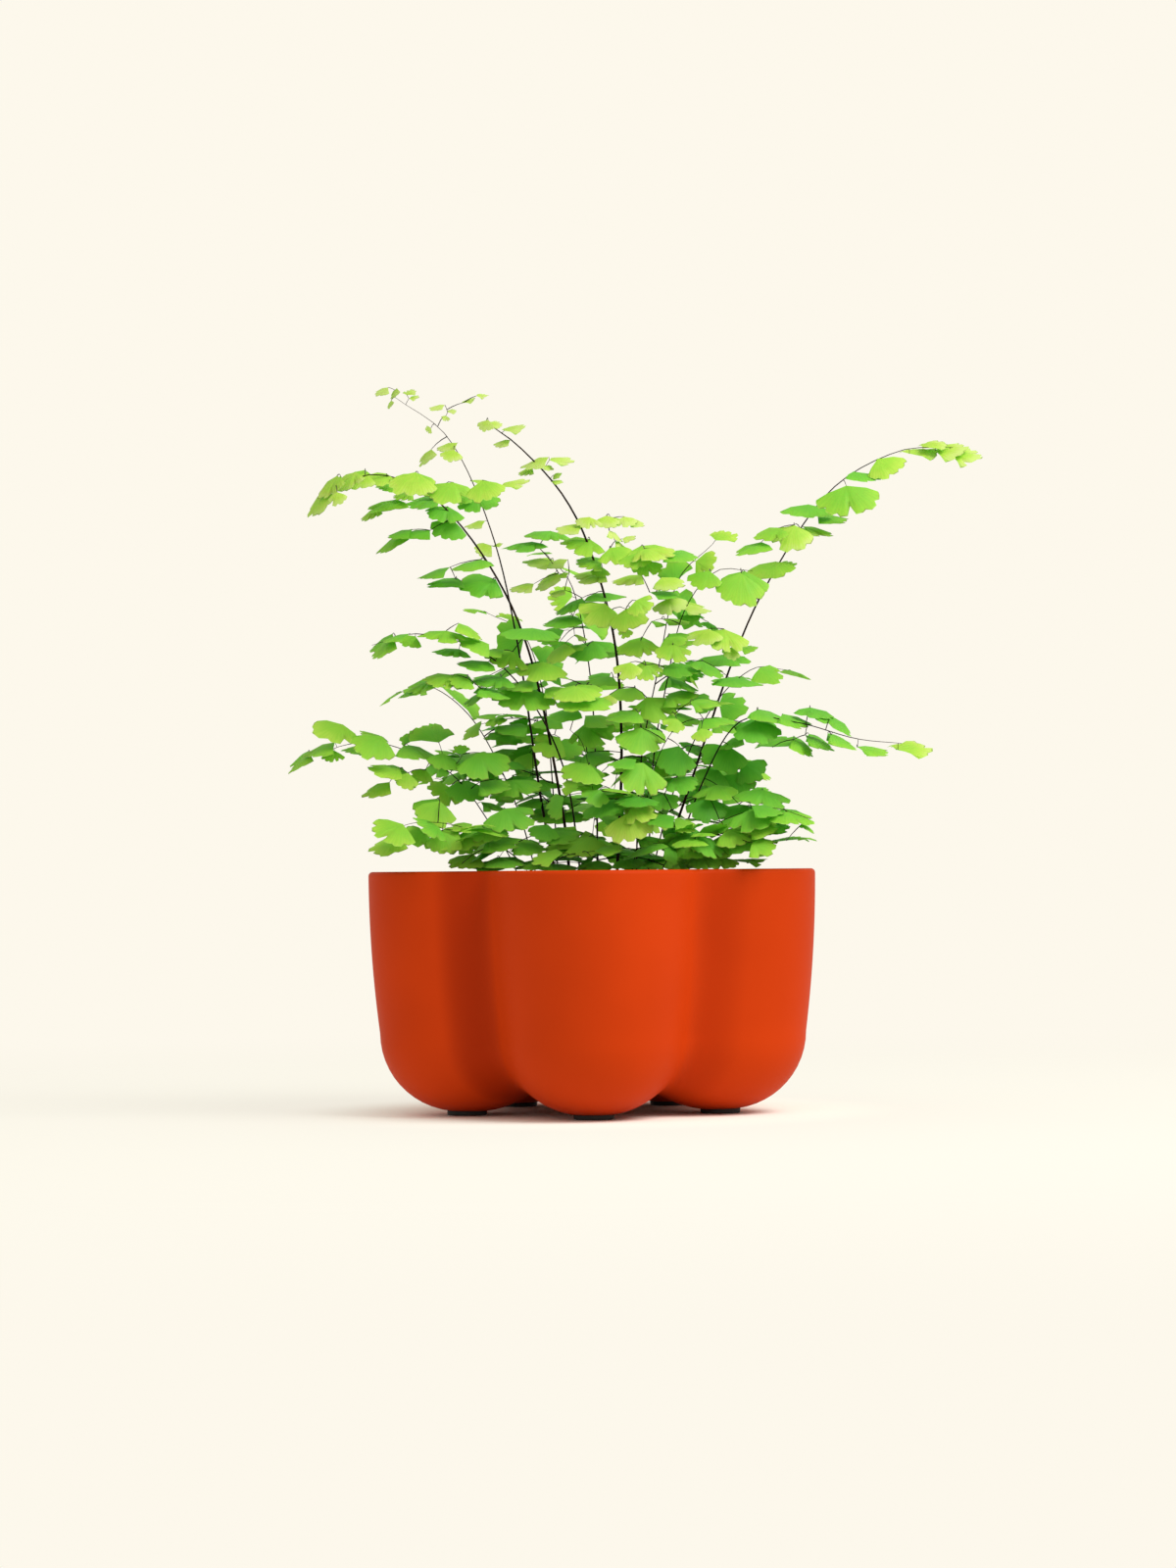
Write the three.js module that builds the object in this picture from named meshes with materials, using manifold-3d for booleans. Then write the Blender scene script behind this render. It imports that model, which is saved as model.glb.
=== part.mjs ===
// Potted maidenhair fern: a glazed pot of five round lobes on five rubber feet, filled with soil, and the
// fronds of the fern, each a wiry stem with side sprays of fan-shaped leaflets.
// Millimetres, +Z up, standing on z = 0. The origin is the middle of the whole plant's outline as seen
// from above, on the surface that the pot stands on. The pot's front lobe points to -Y.

import * as THREE from "three";
import { mergeVertices } from "three/addons/utils/BufferGeometryUtils.js";
import Module from "manifold-3d";

const wasm = await Module();
wasm.setup();

// ---------------------------------------------------------------- driving dimensions

const pot = {
  lobes: 5,
  height: 86, // rim above the surface
  lobeCentre: 47, // from the pot's axis to a lobe's axis
  lobeRadius: 30.5, // where the round bottom ends
  roundBottom: 27.5, // radius of the round bottom
  flare: 3.7, // what a lobe gains in radius up to the rim
  base: 1.5, // underside of a lobe above the surface
  coreRadius: 40,
  coreBase: 13,
  coreRound: 8,
  blend: 4.8, // softness of the valleys between lobes
  wall: 5,
  rimBevel: 1.2,
};
const shapeTurns = 50; // corners of a ring of the pot
const shapePivot = { out: 30, up: 34 }; // the rays that find the underside start here in each half-plane
const wallHeights = [52, 68];
const undersideAngles = [-14, -26, -37, -48, -60, -76, -100, -128];
const cavityAngles = [-30, -55, -90];
const shapeReach = 120; // longer than any of those rays
const shapeHalvings = 40; // of that reach, to find the skin

const foot = { radius: 7, height: 2.2, sides: 14, seatGap: 0.3 };
const soil = {
  gap: 0.35, // to the pot's wall
  edgeDrop: 7, // below the rim
  crownDrop: 4,
  moundShare: 0.62, // where the flat top of the mound starts, of the way out to the wall
  holeDepth: 12,
  holeFloor: 1, // between a stem's foot and the floor of its hole
  holeGap: 0.45,
  holeSides: 5,
};

const stem = { radius: 0.65, tipRadius: 0.5, sides: 4, steps: 9, collar: 2 }; // upright up to its collar
const twig = { pieces: 3, arch: 14, sink: 40, bareShare: 0.3 }; // a spray sets off above its lift, then sinks
const rib = { width: 0.9, neck: 0.9, tipStart: 0.03 }; // neck is a leaflet's width at its root
const blade = { thickness: 0.6, spread: 52, notch: 0.82, cup: 0.1, spacing: 0.72, gap: 2.5, threeLobed: 13 };
const pose = { turn: 64, turnSway: 14, rollSway: 43, droop: 9, droopSway: 29 }; // of a leaflet on its rib
const taper = { start: 1.06, end: 0.8, sway: 0.2 }; // of the leaflets' sizes along a twig
const clearance = 0.7; // what a spray keeps free around itself
const roomStart = 1; // a rib needs that room from this far along
const roomSteps = 5;
const fanRule = { first: 0.3, open: 68, closing: 14, shortening: 0.4, lift: 8 };
const tipKey = 99; // the draws of a stem's own leaflets
const turnsTried = [0, 12, -12, 24, -24, 38, -38];
const liftsTried = [0, 12, -12];
const light = new THREE.Vector3(0, -0.45, 1); // leaves turn their upper faces this way, and outwards
const outwardShare = 0.3;

// One row for each frond, from the pot's axis: root in the soil, the points its stem passes, leaflet size,
// and the share of the stem at its end that carries leaflets itself. A spray is [share of the stem's
// length, heading in degrees from +X, length, lift in degrees, leaflet size where it is smaller], and fan()
// spaces some by rule.
const fronds = [
  {
    name: "frond_upper_left",
    root: [-8, -8],
    path: [
      [-10, -11, 106], [-20, -16, 158], [-33, -22, 190], [-53, -28, 216], [-73, -32, 225], [-92, -36, 220],
    ],
    leaflet: 14.5,
    tip: 0.3,
    sprays: [
      [0.5, 200, 26, -4], [0.56, 310, 16, -6], [0.6, 165, 28, 2], [0.65, 215, 26, -8], [0.69, 350, 30, 4],
    ],
  },
  {
    name: "frond_top_left",
    root: [-13, 2],
    path: [[-18, 4, 112], [-26, 8, 168], [-35, 12, 208], [-50, 16, 242], [-70, 18, 258]],
    leaflet: 8,
    tip: 0.16,
    sprays: [
      [0.5, 20, 26, 6], [0.56, 150, 24, 5], [0.64, 335, 20, 15], [0.71, 200, 16, 10], [0.77, 10, 16, 20],
      [0.83, 185, 12, -5],
    ],
  },
  {
    name: "frond_mid_left",
    root: [-4, -16],
    path: [[-9, -20, 120], [-21, -26, 146], [-38, -30, 163], [-60, -34, 169], [-76, -36, 165]],
    leaflet: 14.5,
    tip: 0.44,
    sprays: [[0.32, 205, 44, 24], [0.42, 330, 28, 6], [0.48, 160, 40, 14]],
  },
  {
    name: "frond_low_left",
    root: [-26, -14],
    path: [[-36, -16, 103], [-50, -18, 121], [-72, -19, 131], [-86, -18, 131], [-97, -17, 127]],
    leaflet: 16.5,
    tip: 0.5,
    sprays: [
      [0.22, 330, 20, 12], [0.32, 235, 32, -10], [0.38, 75, 24, 24], [0.46, 130, 26, 26], [0.49, 225, 26, 0],
    ],
  },
  {
    name: "frond_rim_left",
    root: [-22, -30],
    path: [[-28, -34, 92], [-44, -42, 101], [-60, -46, 103], [-72, -48, 99]],
    leaflet: 15.5,
    tip: 0.6,
    sprays: [[0.2, 330, 22, 0], [0.3, 165, 28, 14], [0.38, 255, 22, -8]],
  },
  {
    name: "frond_centre",
    root: [9, -6],
    path: [[11, -6, 128], [9, -8, 166], [1, -10, 198], [-9, -11, 219], [-24, -12, 236], [-36, -13, 245]],
    leaflet: 13.5,
    tip: 0.1,
    sprays: [
      [0.3, 205, 32, 6], [0.36, 335, 34, 4], [0.42, 155, 30, 8], [0.48, 310, 26, -6], [0.53, 20, 34, 10],
      [0.59, 195, 26, 0], [0.66, 350, 32, 10], [0.72, 185, 18, 8, 10], [0.86, 10, 16, 14, 8],
    ],
  },
  {
    name: "frond_upper_right",
    root: [24, 2],
    path: [[34, 3, 112], [51, 7, 160], [65, 12, 190], [87, 18, 222], [112, 24, 237], [133, 28, 239]],
    leaflet: 16,
    tip: 0.36,
    sprays: [
      [0.4, 350, 26, 6], [0.48, 200, 28, 0], [0.54, 165, 34, 6], [0.6, 215, 32, -4], [0.63, 340, 22, 0],
    ],
  },
  {
    name: "frond_low_right",
    root: [28, -12],
    path: [[40, -17, 118], [53, -24, 138], [72, -32, 137], [92, -38, 131], [108, -42, 129]],
    leaflet: 14.5,
    tip: 0.42,
    sprays: [
      [0.3, 305, 26, -12], [0.36, 25, 34, 0], [0.44, 330, 30, -16], [0.48, 60, 34, 10], [0.54, 230, 20, -6],
    ],
  },
  {
    name: "frond_rim_right",
    root: [24, -28],
    path: [[30, -32, 93], [46, -38, 103], [62, -42, 107], [76, -45, 103]],
    leaflet: 16.5,
    tip: 0.6,
    sprays: [[0.22, 205, 22, 0], [0.3, 15, 28, 12], [0.39, 290, 24, -8]],
  },
  {
    name: "frond_centre_right",
    root: [20, -18],
    path: [[22, -22, 124], [27, -26, 152], [33, -28, 176], [44, -31, 190], [57, -34, 190]],
    leaflet: 14.5,
    tip: 0.24,
    sprays: [
      [0.36, 205, 28, 6], [0.44, 335, 34, 8], [0.52, 180, 30, 8], [0.6, 340, 34, 2], [0.68, 200, 28, 4],
      [0.75, 10, 28, 6],
    ],
  },
  {
    name: "frond_front",
    root: [2, -30],
    path: [[2, -36, 100], [0, -44, 118], [-3, -52, 130], [-7, -60, 134]],
    leaflet: 17,
    tip: 0.4,
    sprays: [[0.26, 200, 30, -10], [0.36, 340, 30, -4], [0.48, 190, 26, 2], [0.56, 0, 26, 4]],
  },
  {
    name: "frond_front_right",
    root: [14, -32],
    path: [[18, -38, 104], [23, -46, 124], [31, -53, 136], [44, -60, 138]],
    leaflet: 16,
    tip: 0.36,
    sprays: [[0.26, 310, 30, -10], [0.36, 345, 28, -4], [0.46, 215, 26, 0], [0.56, 190, 28, 8]],
  },
  {
    name: "frond_inner_left",
    root: [-12, -4],
    path: [[-14, 10, 120], [-17, 18, 150], [-24, 25, 172], [-37, 31, 180]],
    leaflet: 14,
    tip: 0.24,
    sprays: fan(6, 150, 34, 0.76),
  },
  {
    name: "frond_inner_right",
    root: [16, 8],
    path: [[18, 12, 124], [25, 16, 160], [32, 19, 190], [45, 23, 204]],
    leaflet: 14,
    tip: 0.22,
    sprays: fan(6, 20, 34, 0.78),
  },
  {
    name: "frond_back",
    root: [2, 16],
    path: [[2, 24, 118], [0, 36, 158], [-6, 50, 190], [-16, 62, 204]],
    leaflet: 14.5,
    tip: 0.26,
    sprays: fan(6, 100, 36, 0.74),
  },
  {
    name: "frond_back_left",
    root: [-20, 14],
    path: [[-28, 24, 112], [-42, 38, 140], [-58, 52, 154], [-70, 62, 153]],
    leaflet: 15,
    tip: 0.4,
    sprays: fan(5, 140, 36, 0.6),
  },
  {
    name: "frond_back_right",
    root: [22, 20],
    path: [[30, 30, 114], [44, 44, 144], [60, 58, 160], [74, 66, 160]],
    leaflet: 15,
    tip: 0.4,
    sprays: fan(5, 45, 36, 0.6),
  },
  {
    name: "frond_rim_back",
    root: [0, 32],
    path: [[0, 38, 94], [2, 56, 110], [4, 72, 112], [6, 84, 106]],
    leaflet: 16,
    tip: 0.5,
    sprays: fan(3, 90, 30, 0.5),
  },
];

// ---------------------------------------------------------------- rules that place the leaves

// `count` sprays up to `top` on a stem that leans towards `heading`, left and right in turn, and shorter
// and closer to the stem's own way further up.
function fan(count, heading, reach, top) {
  return Array.from({ length: count }, (_, i) => {
    const share = i / (count - 1);
    const open = (i % 2 ? 1 : -1) * (fanRule.open - fanRule.closing * share);
    const length = reach * (1 - fanRule.shortening * share);
    return [fanRule.first + (top - fanRule.first) * share, heading + open, length, fanRule.lift];
  });
}

// A fixed draw from 0 to 1 for a list of whole numbers.
function draw(...keys) {
  let h = 0x9e3779b9;
  for (const key of keys) {
    h = Math.imul(h ^ (key + 1), 0x85ebca6b);
    h ^= h >>> 13;
    h = Math.imul(h, 0xc2b2ae35);
    h ^= h >>> 16;
  }
  return (h >>> 0) / 4294967296;
}

const radians = THREE.MathUtils.degToRad;
const mix = THREE.MathUtils.lerp;

function curveThrough(points) {
  return new THREE.CatmullRomCurve3(points, false, "catmullrom", 0.5);
}

function stemCurve(frond) {
  const [x, y] = frond.root;
  const top = pot.height - soil.crownDrop;
  const foot = top - soil.holeDepth + soil.holeFloor;
  const points = [[x, y, foot], [x, y, top + stem.collar], ...frond.path];
  return curveThrough(points.map((p) => new THREE.Vector3(...p)));
}

// Where the straight pieces of a stem meet: at its foot, where it leaves the soil, and evenly up to `top`.
function stationShare(curve, top, step) {
  const collar = (soil.holeDepth - soil.holeFloor + stem.collar) / curve.getLength();
  return step === 0 ? 0 : mix(collar, top, (step - 1) / (stem.steps - 1));
}

// A point on those straight pieces, above the soil.
function pointOnStem(curve, top, share) {
  const collar = stationShare(curve, top, 1);
  const place = 1 + ((share - collar) / (top - collar)) * (stem.steps - 1);
  const step = Math.min(Math.floor(place), stem.steps - 1);
  const start = curve.getPointAt(stationShare(curve, top, step));
  return start.lerp(curve.getPointAt(stationShare(curve, top, step + 1)), place - step);
}

function sprayCurve(start, heading, length, lift) {
  const points = [start];
  for (let i = 0; i < twig.pieces; i++) {
    const pitch = radians(lift + twig.arch - (twig.sink * (i + 0.5)) / twig.pieces);
    const step = new THREE.Vector3(Math.cos(pitch), 0, Math.sin(pitch)).multiplyScalar(length / twig.pieces);
    points.push(points[i].clone().add(step.applyAxisAngle(THREE.Object3D.DEFAULT_UP, radians(heading))));
  }
  return curveThrough(points);
}

// Along a twig: the point, its direction, its left and the side that faces the light.
function frameAt(curve, share, roll) {
  const at = curve.getPointAt(share);
  const ahead = curve.getTangentAt(share);
  const outward = new THREE.Vector3(at.x, at.y, 0).normalize().multiplyScalar(outwardShare);
  const normal = light.clone().add(outward).projectOnPlane(ahead).normalize().applyAxisAngle(ahead, roll);
  return { at, ahead, normal, left: normal.clone().cross(ahead) };
}

// Leaflets stand left and right of their twig in turn, with one at its end, smaller towards the end.
function leafletsAlong(curve, from, size, roll, key) {
  const length = curve.getLength();
  const steps = Math.max(1, Math.round((length * (1 - from)) / (size * blade.spacing + blade.gap)));
  return Array.from({ length: steps + 1 }, (_, i) => {
    const share = mix(from, 1, i / steps);
    const { at, ahead, normal, left } = frameAt(curve, share, roll);
    const sway = (n) => draw(...key, i, n) - 0.5;
    const side = i === steps ? 0 : i % 2 ? 1 : -1;
    const turn = side * radians(pose.turn) + radians(pose.turnSway) * sway(3);
    const droop = radians(pose.droop) + radians(pose.droopSway) * sway(2);
    const tip = new THREE.Euler(radians(pose.rollSway) * sway(1), droop, turn, "ZYX");
    const basis = new THREE.Matrix4().makeBasis(ahead, left, normal);
    basis.multiply(new THREE.Matrix4().makeRotationFromEuler(tip));
    const full = size * mix(taper.start, taper.end, i / steps) * (1 + taper.sway * sway(4));
    at.addScaledVector(left, (side * rib.width) / 2);
    return { along: share * length, side, at, basis, size: full, lobes: full > blade.threeLobed ? 3 : 2 };
  });
}

// ---------------------------------------------------------------- solids

function solidOf(geometry) {
  const bare = new THREE.BufferGeometry().setAttribute("position", geometry.getAttribute("position"));
  if (geometry.index) bare.setIndex(geometry.index);
  const merged = mergeVertices(bare, 1e-4);
  return new wasm.Manifold(
    new wasm.Mesh({
      numProp: 3,
      vertProperties: merged.attributes.position.array,
      triVerts: new Uint32Array(merged.index.array),
    }),
  );
}

function geometryOf(solid) {
  const mesh = solid.getMesh();
  const geometry = new THREE.BufferGeometry();
  geometry.setAttribute("position", new THREE.BufferAttribute(mesh.vertProperties, 3));
  geometry.setIndex(new THREE.BufferAttribute(mesh.triVerts, 1));
  geometry.computeVertexNormals();
  return geometry;
}

// A closed skin through rings of equally many points. The first and the last are single points.
function closedSkin(rings) {
  const turns = rings[1].length;
  const position = rings.flat().flatMap((p) => [p.x, p.y, p.z]);
  const start = (row) => (row === 0 ? 0 : 1 + (row - 1) * turns);
  const faces = [];
  for (let j = 0; j < turns; j++) {
    const k = (j + 1) % turns;
    faces.push(0, start(1) + k, start(1) + j);
    for (let row = 1; row < rings.length - 2; row++) {
      const a = start(row);
      const b = start(row + 1);
      faces.push(a + j, a + k, b + k, a + j, b + k, b + j);
    }
    const last = rings.length - 1;
    faces.push(start(last), start(last - 1) + j, start(last - 1) + k);
  }
  const geometry = new THREE.BufferGeometry();
  geometry.setAttribute("position", new THREE.Float32BufferAttribute(position, 3));
  geometry.setIndex(faces);
  return geometry;
}

// ---------------------------------------------------------------- pot

// The first lobe points to -Y.
const lobeAxes = Array.from({ length: pot.lobes }, (_, i) => {
  const angle = (i * 2 * Math.PI) / pot.lobes - Math.PI / 2;
  return new THREE.Vector2(pot.lobeCentre * Math.cos(angle), pot.lobeCentre * Math.sin(angle));
});

function flareAt(z) {
  const start = pot.base + pot.roundBottom;
  const share = THREE.MathUtils.clamp((z - start) / (pot.height - start), 0, 1);
  return pot.flare * (1 - (1 - share) ** 2);
}

// Distance to an upright round drum with a rounded bottom edge, negative inside.
function drumField(x, y, z, radius, base, round) {
  const out = Math.hypot(x, y) - (radius - round);
  const down = base + round - z;
  return Math.hypot(Math.max(out, 0), Math.max(down, 0)) + Math.min(Math.max(out, down), 0) - round;
}

// Distance to the whole pot: its lobes and its core, with soft valleys between them.
function potField(x, y, z) {
  let sum = Math.exp(-drumField(x, y, z, pot.coreRadius, pot.coreBase, pot.coreRound) / pot.blend);
  for (const lobe of lobeAxes) {
    const radius = pot.lobeRadius + flareAt(z);
    const field = drumField(x - lobe.x, y - lobe.y, z, radius, pot.base, pot.roundBottom);
    sum += Math.exp(-field / pot.blend);
  }
  return -pot.blend * Math.log(sum);
}

// The point where a ray in the half-plane at `turn` leaves the skin `inset` inside the pot's surface.
function skinPoint(turn, out, up, pitch, inset) {
  const pointAt = (t) => {
    const s = out + t * Math.cos(pitch);
    return new THREE.Vector3(s * Math.cos(turn), s * Math.sin(turn), up + t * Math.sin(pitch));
  };
  let near = 0;
  let far = shapeReach;
  for (let i = 0; i < shapeHalvings; i++) {
    const middle = (near + far) / 2;
    const p = pointAt(middle);
    if (potField(p.x, p.y, p.z) < -inset) near = middle;
    else far = middle;
  }
  return pointAt(near);
}

function ringOf(pointAtTurn) {
  const turns = Array.from({ length: shapeTurns }, (_, j) => (j * 2 * Math.PI) / shapeTurns - Math.PI / 2);
  return turns.map(pointAtTurn);
}

function levelRing(z, inset) {
  return ringOf((turn) => skinPoint(turn, 0, z, 0, inset));
}

function undersideRing(degrees, inset) {
  return ringOf((turn) => skinPoint(turn, shapePivot.out, shapePivot.up, radians(degrees), inset));
}

function pole(inset) {
  return [skinPoint(0, 0, shapePivot.up, -Math.PI / 2, inset)];
}

function drum(radius, height, sides) {
  return new THREE.CylinderGeometry(radius, radius, height, sides).rotateX(Math.PI / 2);
}

// The inside of the pot up to the edge of the soil. The soil has the same rings, a little smaller.
function hollowRings(inset) {
  return [
    pole(inset),
    ...cavityAngles.toReversed().map((angle) => undersideRing(angle, inset)),
    levelRing(shapePivot.up, inset),
    levelRing(pot.height - soil.edgeDrop, inset),
  ];
}

function onAxis(z) {
  return [new THREE.Vector3(0, 0, z)];
}

function makePot() {
  const { height, wall, rimBevel } = pot;
  const body = closedSkin([
    pole(0),
    ...undersideAngles.toReversed().map((angle) => undersideRing(angle, 0)),
    levelRing(shapePivot.up, 0),
    ...wallHeights.map((z) => levelRing(z, 0)),
    levelRing(height - rimBevel, 0),
    levelRing(height, rimBevel),
    onAxis(height),
  ]);
  const mouth = levelRing(height, wall - rimBevel);
  const above = mouth.map((p) => p.clone().setZ(height + 1));
  const hollow = closedSkin([
    ...hollowRings(wall),
    levelRing(height - rimBevel, wall),
    mouth,
    above,
    onAxis(height + 1),
  ]);
  let solid = solidOf(body).subtract(solidOf(hollow));
  for (const lobe of lobeAxes) {
    const seat = drum(foot.radius + foot.seatGap, 2 * foot.height, foot.sides);
    solid = solid.subtract(solidOf(seat.translate(lobe.x, lobe.y, 0)));
  }
  return geometryOf(solid);
}

function makeFoot(lobe) {
  return drum(foot.radius, foot.height, foot.sides).translate(lobe.x, lobe.y, foot.height / 2);
}

// ---------------------------------------------------------------- soil

function makeSoil() {
  const inset = pot.wall + soil.gap;
  const crown = pot.height - soil.crownDrop;
  const mound = levelRing(crown, inset).map((p) => p.multiplyScalar(soil.moundShare).setZ(crown));
  const rings = [...hollowRings(inset), mound, onAxis(crown)];
  let solid = solidOf(closedSkin(rings));
  for (const { root } of fronds) {
    const hole = drum(stem.radius + soil.holeGap, 2 * soil.holeDepth, soil.holeSides);
    solid = solid.subtract(solidOf(hole.translate(...root, crown)));
  }
  return geometryOf(solid);
}

// ---------------------------------------------------------------- fronds

// A thin solid from a surface of corners and triangles. Each corner has its place and the direction of the
// thickness there, so both faces are split alike. A wall stands on every edge that one triangle alone uses.
function thicken({ corners, faces }, thickness) {
  const count = corners.length;
  const position = [0.5, -0.5].flatMap((side) =>
    corners.flatMap(({ at, normal }) => at.clone().addScaledVector(normal, side * thickness).toArray()),
  );
  const edges = faces.flatMap(([a, b, c]) => [[a, b], [b, c], [c, a]]);
  const used = new Set(edges.map(String));
  const rims = edges.filter(([a, b]) => !used.has(String([b, a])));
  const index = faces.flatMap(([a, b, c]) => [a, b, c, count + a, count + c, count + b]);
  index.push(...rims.flatMap(([a, b]) => [count + a, count + b, b, count + a, b, a]));
  const geometry = new THREE.BufferGeometry();
  geometry.setAttribute("position", new THREE.Float32BufferAttribute(position, 3));
  geometry.setIndex(index);
  return geometry;
}

function fanFaces(ids) {
  return ids.slice(1, -1).map((id, i) => [ids[0], id, ids[i + 2]]);
}

// A corner of the thin rib, `along` from its curve's start and `across` to the left.
function ribCorner({ curve, roll }, along, across) {
  const share = THREE.MathUtils.clamp(along / curve.getLength(), 0, 1);
  const { at, left, normal } = frameAt(curve, share, roll);
  return { at: at.addScaledVector(left, across), normal };
}

// The lobed outer edge of a leaflet, cupped down away from its root.
function fanCorners(leaflet, grow) {
  const normal = new THREE.Vector3().setFromMatrixColumn(leaflet.basis, 2);
  const count = 2 * leaflet.lobes;
  const spread = radians(blade.spread) + grow / leaflet.size;
  return Array.from({ length: count + 1 }, (_, i) => {
    const angle = mix(-spread, spread, i / count);
    const notch = grow || i % 2 ? 1 : blade.notch;
    const reach = leaflet.size * notch + grow;
    const sunk = -blade.cup * reach * notch;
    const place = new THREE.Vector3(reach * Math.cos(angle), reach * Math.sin(angle), sunk);
    return { at: place.applyMatrix4(leaflet.basis).add(leaflet.at), normal };
  });
}

// The surface of a whole spray: a strip for its rib, and the leaflets as fans that share corners with it.
function spraySurface(spray) {
  const corners = [];
  const faces = [];
  const add = (corner) => corners.push(corner) - 1;
  const onRib = (along, side) => add(ribCorner(spray, along, (side * rib.width) / 2));
  const start = spray.from * spray.curve.getLength();
  let right = onRib(start, -1);
  let left = onRib(start, 1);
  for (const leaflet of spray.leaflets) {
    const fan = fanCorners(leaflet, 0).map(add);
    const back = onRib(leaflet.along - rib.neck / 2, leaflet.side || -1);
    if (leaflet.side === 0) {
      const other = onRib(leaflet.along - rib.neck / 2, 1);
      faces.push([right, back, other], [right, other, left], ...fanFaces([back, ...fan, other]));
      continue;
    }
    const front = onRib(leaflet.along + rib.neck / 2, leaflet.side);
    const other = onRib(leaflet.along, -leaflet.side);
    if (leaflet.side < 0) {
      faces.push([right, back, other], [right, other, left], [back, front, other]);
      faces.push(...fanFaces([back, ...fan, front]));
      [right, left] = [front, other];
    } else {
      faces.push([right, other, back], [right, back, left], [other, front, back]);
      faces.push(...fanFaces([front, ...fan, back]));
      [right, left] = [other, front];
    }
  }
  return { corners, faces };
}

// A stem up to `top`, thinner towards its tip.
function stemGeometry(curve, top) {
  const shares = Array.from({ length: stem.steps + 1 }, (_, i) => stationShare(curve, top, i));
  const spoke = new THREE.Vector3(0, 1, 0);
  const rings = shares.map((share) => {
    const middle = curve.getPointAt(share);
    const ahead = curve.getTangentAt(share);
    const radius = mix(stem.radius, stem.tipRadius, share);
    spoke.projectOnPlane(ahead).normalize();
    return Array.from({ length: stem.sides }, (_, k) => {
      const corner = spoke.clone().applyAxisAngle(ahead, (k * 2 * Math.PI) / stem.sides);
      return corner.multiplyScalar(radius).add(middle);
    });
  });
  return closedSkin([[curve.getPointAt(0)], ...rings, [curve.getPointAt(top)]]);
}

function roomOf(geometry) {
  const solid = solidOf(geometry);
  const box = solid.boundingBox();
  return { solid, span: new THREE.Box3(new THREE.Vector3(...box.min), new THREE.Vector3(...box.max)) };
}

// The room of a leaflet by itself, with `grow` more all round.
function leafletRoom(leaflet, grow) {
  const across = new THREE.Vector3().setFromMatrixColumn(leaflet.basis, 1);
  const normal = new THREE.Vector3().setFromMatrixColumn(leaflet.basis, 2);
  const half = rib.neck / 2 + grow;
  const atNeck = (side) => ({ at: leaflet.at.clone().addScaledVector(across, side * half), normal });
  const corners = [atNeck(-1), ...fanCorners(leaflet, grow), atNeck(1)];
  return roomOf(thicken({ corners, faces: fanFaces([...corners.keys()]) }, blade.thickness + 2 * grow));
}

// A rib needs its room from just outside its own stem.
function ribRoom(spray) {
  const half = rib.width / 2 + clearance;
  const end = spray.curve.getLength();
  const start = spray.from * end + roomStart;
  const corners = [];
  const faces = [];
  for (let i = 0; i <= roomSteps; i++) {
    const along = mix(start, end, i / roomSteps);
    corners.push(ribCorner(spray, along, -half), ribCorner(spray, along, half));
    const k = 2 * i;
    if (i < roomSteps) faces.push([k, k + 2, k + 3], [k, k + 3, k + 1]);
  }
  return roomOf(thicken({ corners, faces }, blade.thickness + 2 * clearance));
}

function crosses({ solid, span }, taken) {
  return taken.some((other) => span.intersectsBox(other.span) && !solid.intersect(other.solid).isEmpty());
}

// The leaflets that cross neither what is there nor each other.
function clearLeaflets(leaflets, taken) {
  const rooms = [];
  return leaflets.filter((leaflet) => {
    const room = leafletRoom(leaflet, 0);
    if (crosses(leafletRoom(leaflet, clearance), taken) || crosses(room, rooms)) return false;
    rooms.push(room);
    return true;
  });
}

// The spray turned and lifted until it crosses nothing. Where no such change clears it, the one that keeps
// the most leaflets is taken, without those in the way.
function fitSpray(makeSpray, ribTaken, leafTaken) {
  let best = { leaflets: [] };
  for (const turn of turnsTried) {
    for (const lift of liftsTried) {
      const spray = makeSpray(turn, lift);
      if (crosses(ribRoom(spray), ribTaken)) continue;
      const leaflets = clearLeaflets(spray.leaflets, leafTaken);
      if (leaflets.length > best.leaflets.length) best = { ...spray, leaflets };
      if (leaflets.length === spray.leaflets.length) return best;
    }
  }
  return best;
}

function makeFronds() {
  const curves = fronds.map(stemCurve);
  const stems = fronds.map((frond, index) => roomOf(stemGeometry(curves[index], 1 - frond.tip)));
  const bowl = [roomOf(makePot()), roomOf(makeSoil())];
  const sprays = fronds.map(() => []);
  const place = (index, makeSpray, ownStem) => {
    const others = stems.filter((_, i) => i !== index);
    const ribTaken = [...bowl, ...others, ...sprays.flat()];
    const found = fitSpray(makeSpray, ribTaken, ownStem ? [...ribTaken, stems[index]] : ribTaken);
    if (found.leaflets.length) sprays[index].push(roomOf(thicken(spraySurface(found), blade.thickness)));
  };
  fronds.forEach((frond, index) => {
    const curve = curves[index];
    const makeTip = (turn) => {
      const roll = radians(turn);
      const from = 1 - frond.tip;
      const leaflets = leafletsAlong(curve, from + rib.tipStart, frond.leaflet, roll, [index, tipKey]);
      return { curve, roll, from, leaflets };
    };
    place(index, makeTip, false);
  });
  fronds.forEach((frond, index) => {
    frond.sprays.forEach(([share, heading, length, lift, size = frond.leaflet], number) => {
      const start = pointOnStem(curves[index], 1 - frond.tip, share);
      const makeSpray = (turn, rise) => {
        const curve = sprayCurve(start, heading + turn, length, lift + rise);
        const leaflets = leafletsAlong(curve, twig.bareShare, size, 0, [index, number]);
        return { curve, roll: 0, from: 0, leaflets };
      };
      place(index, makeSpray, true);
    });
  });
  return fronds.map(({ name }, index) => {
    const pieces = [stems[index], ...sprays[index]].map(({ solid }) => solid);
    return { name, geometry: geometryOf(wasm.Manifold.union(pieces)) };
  });
}

// ---------------------------------------------------------------- the plant

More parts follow.
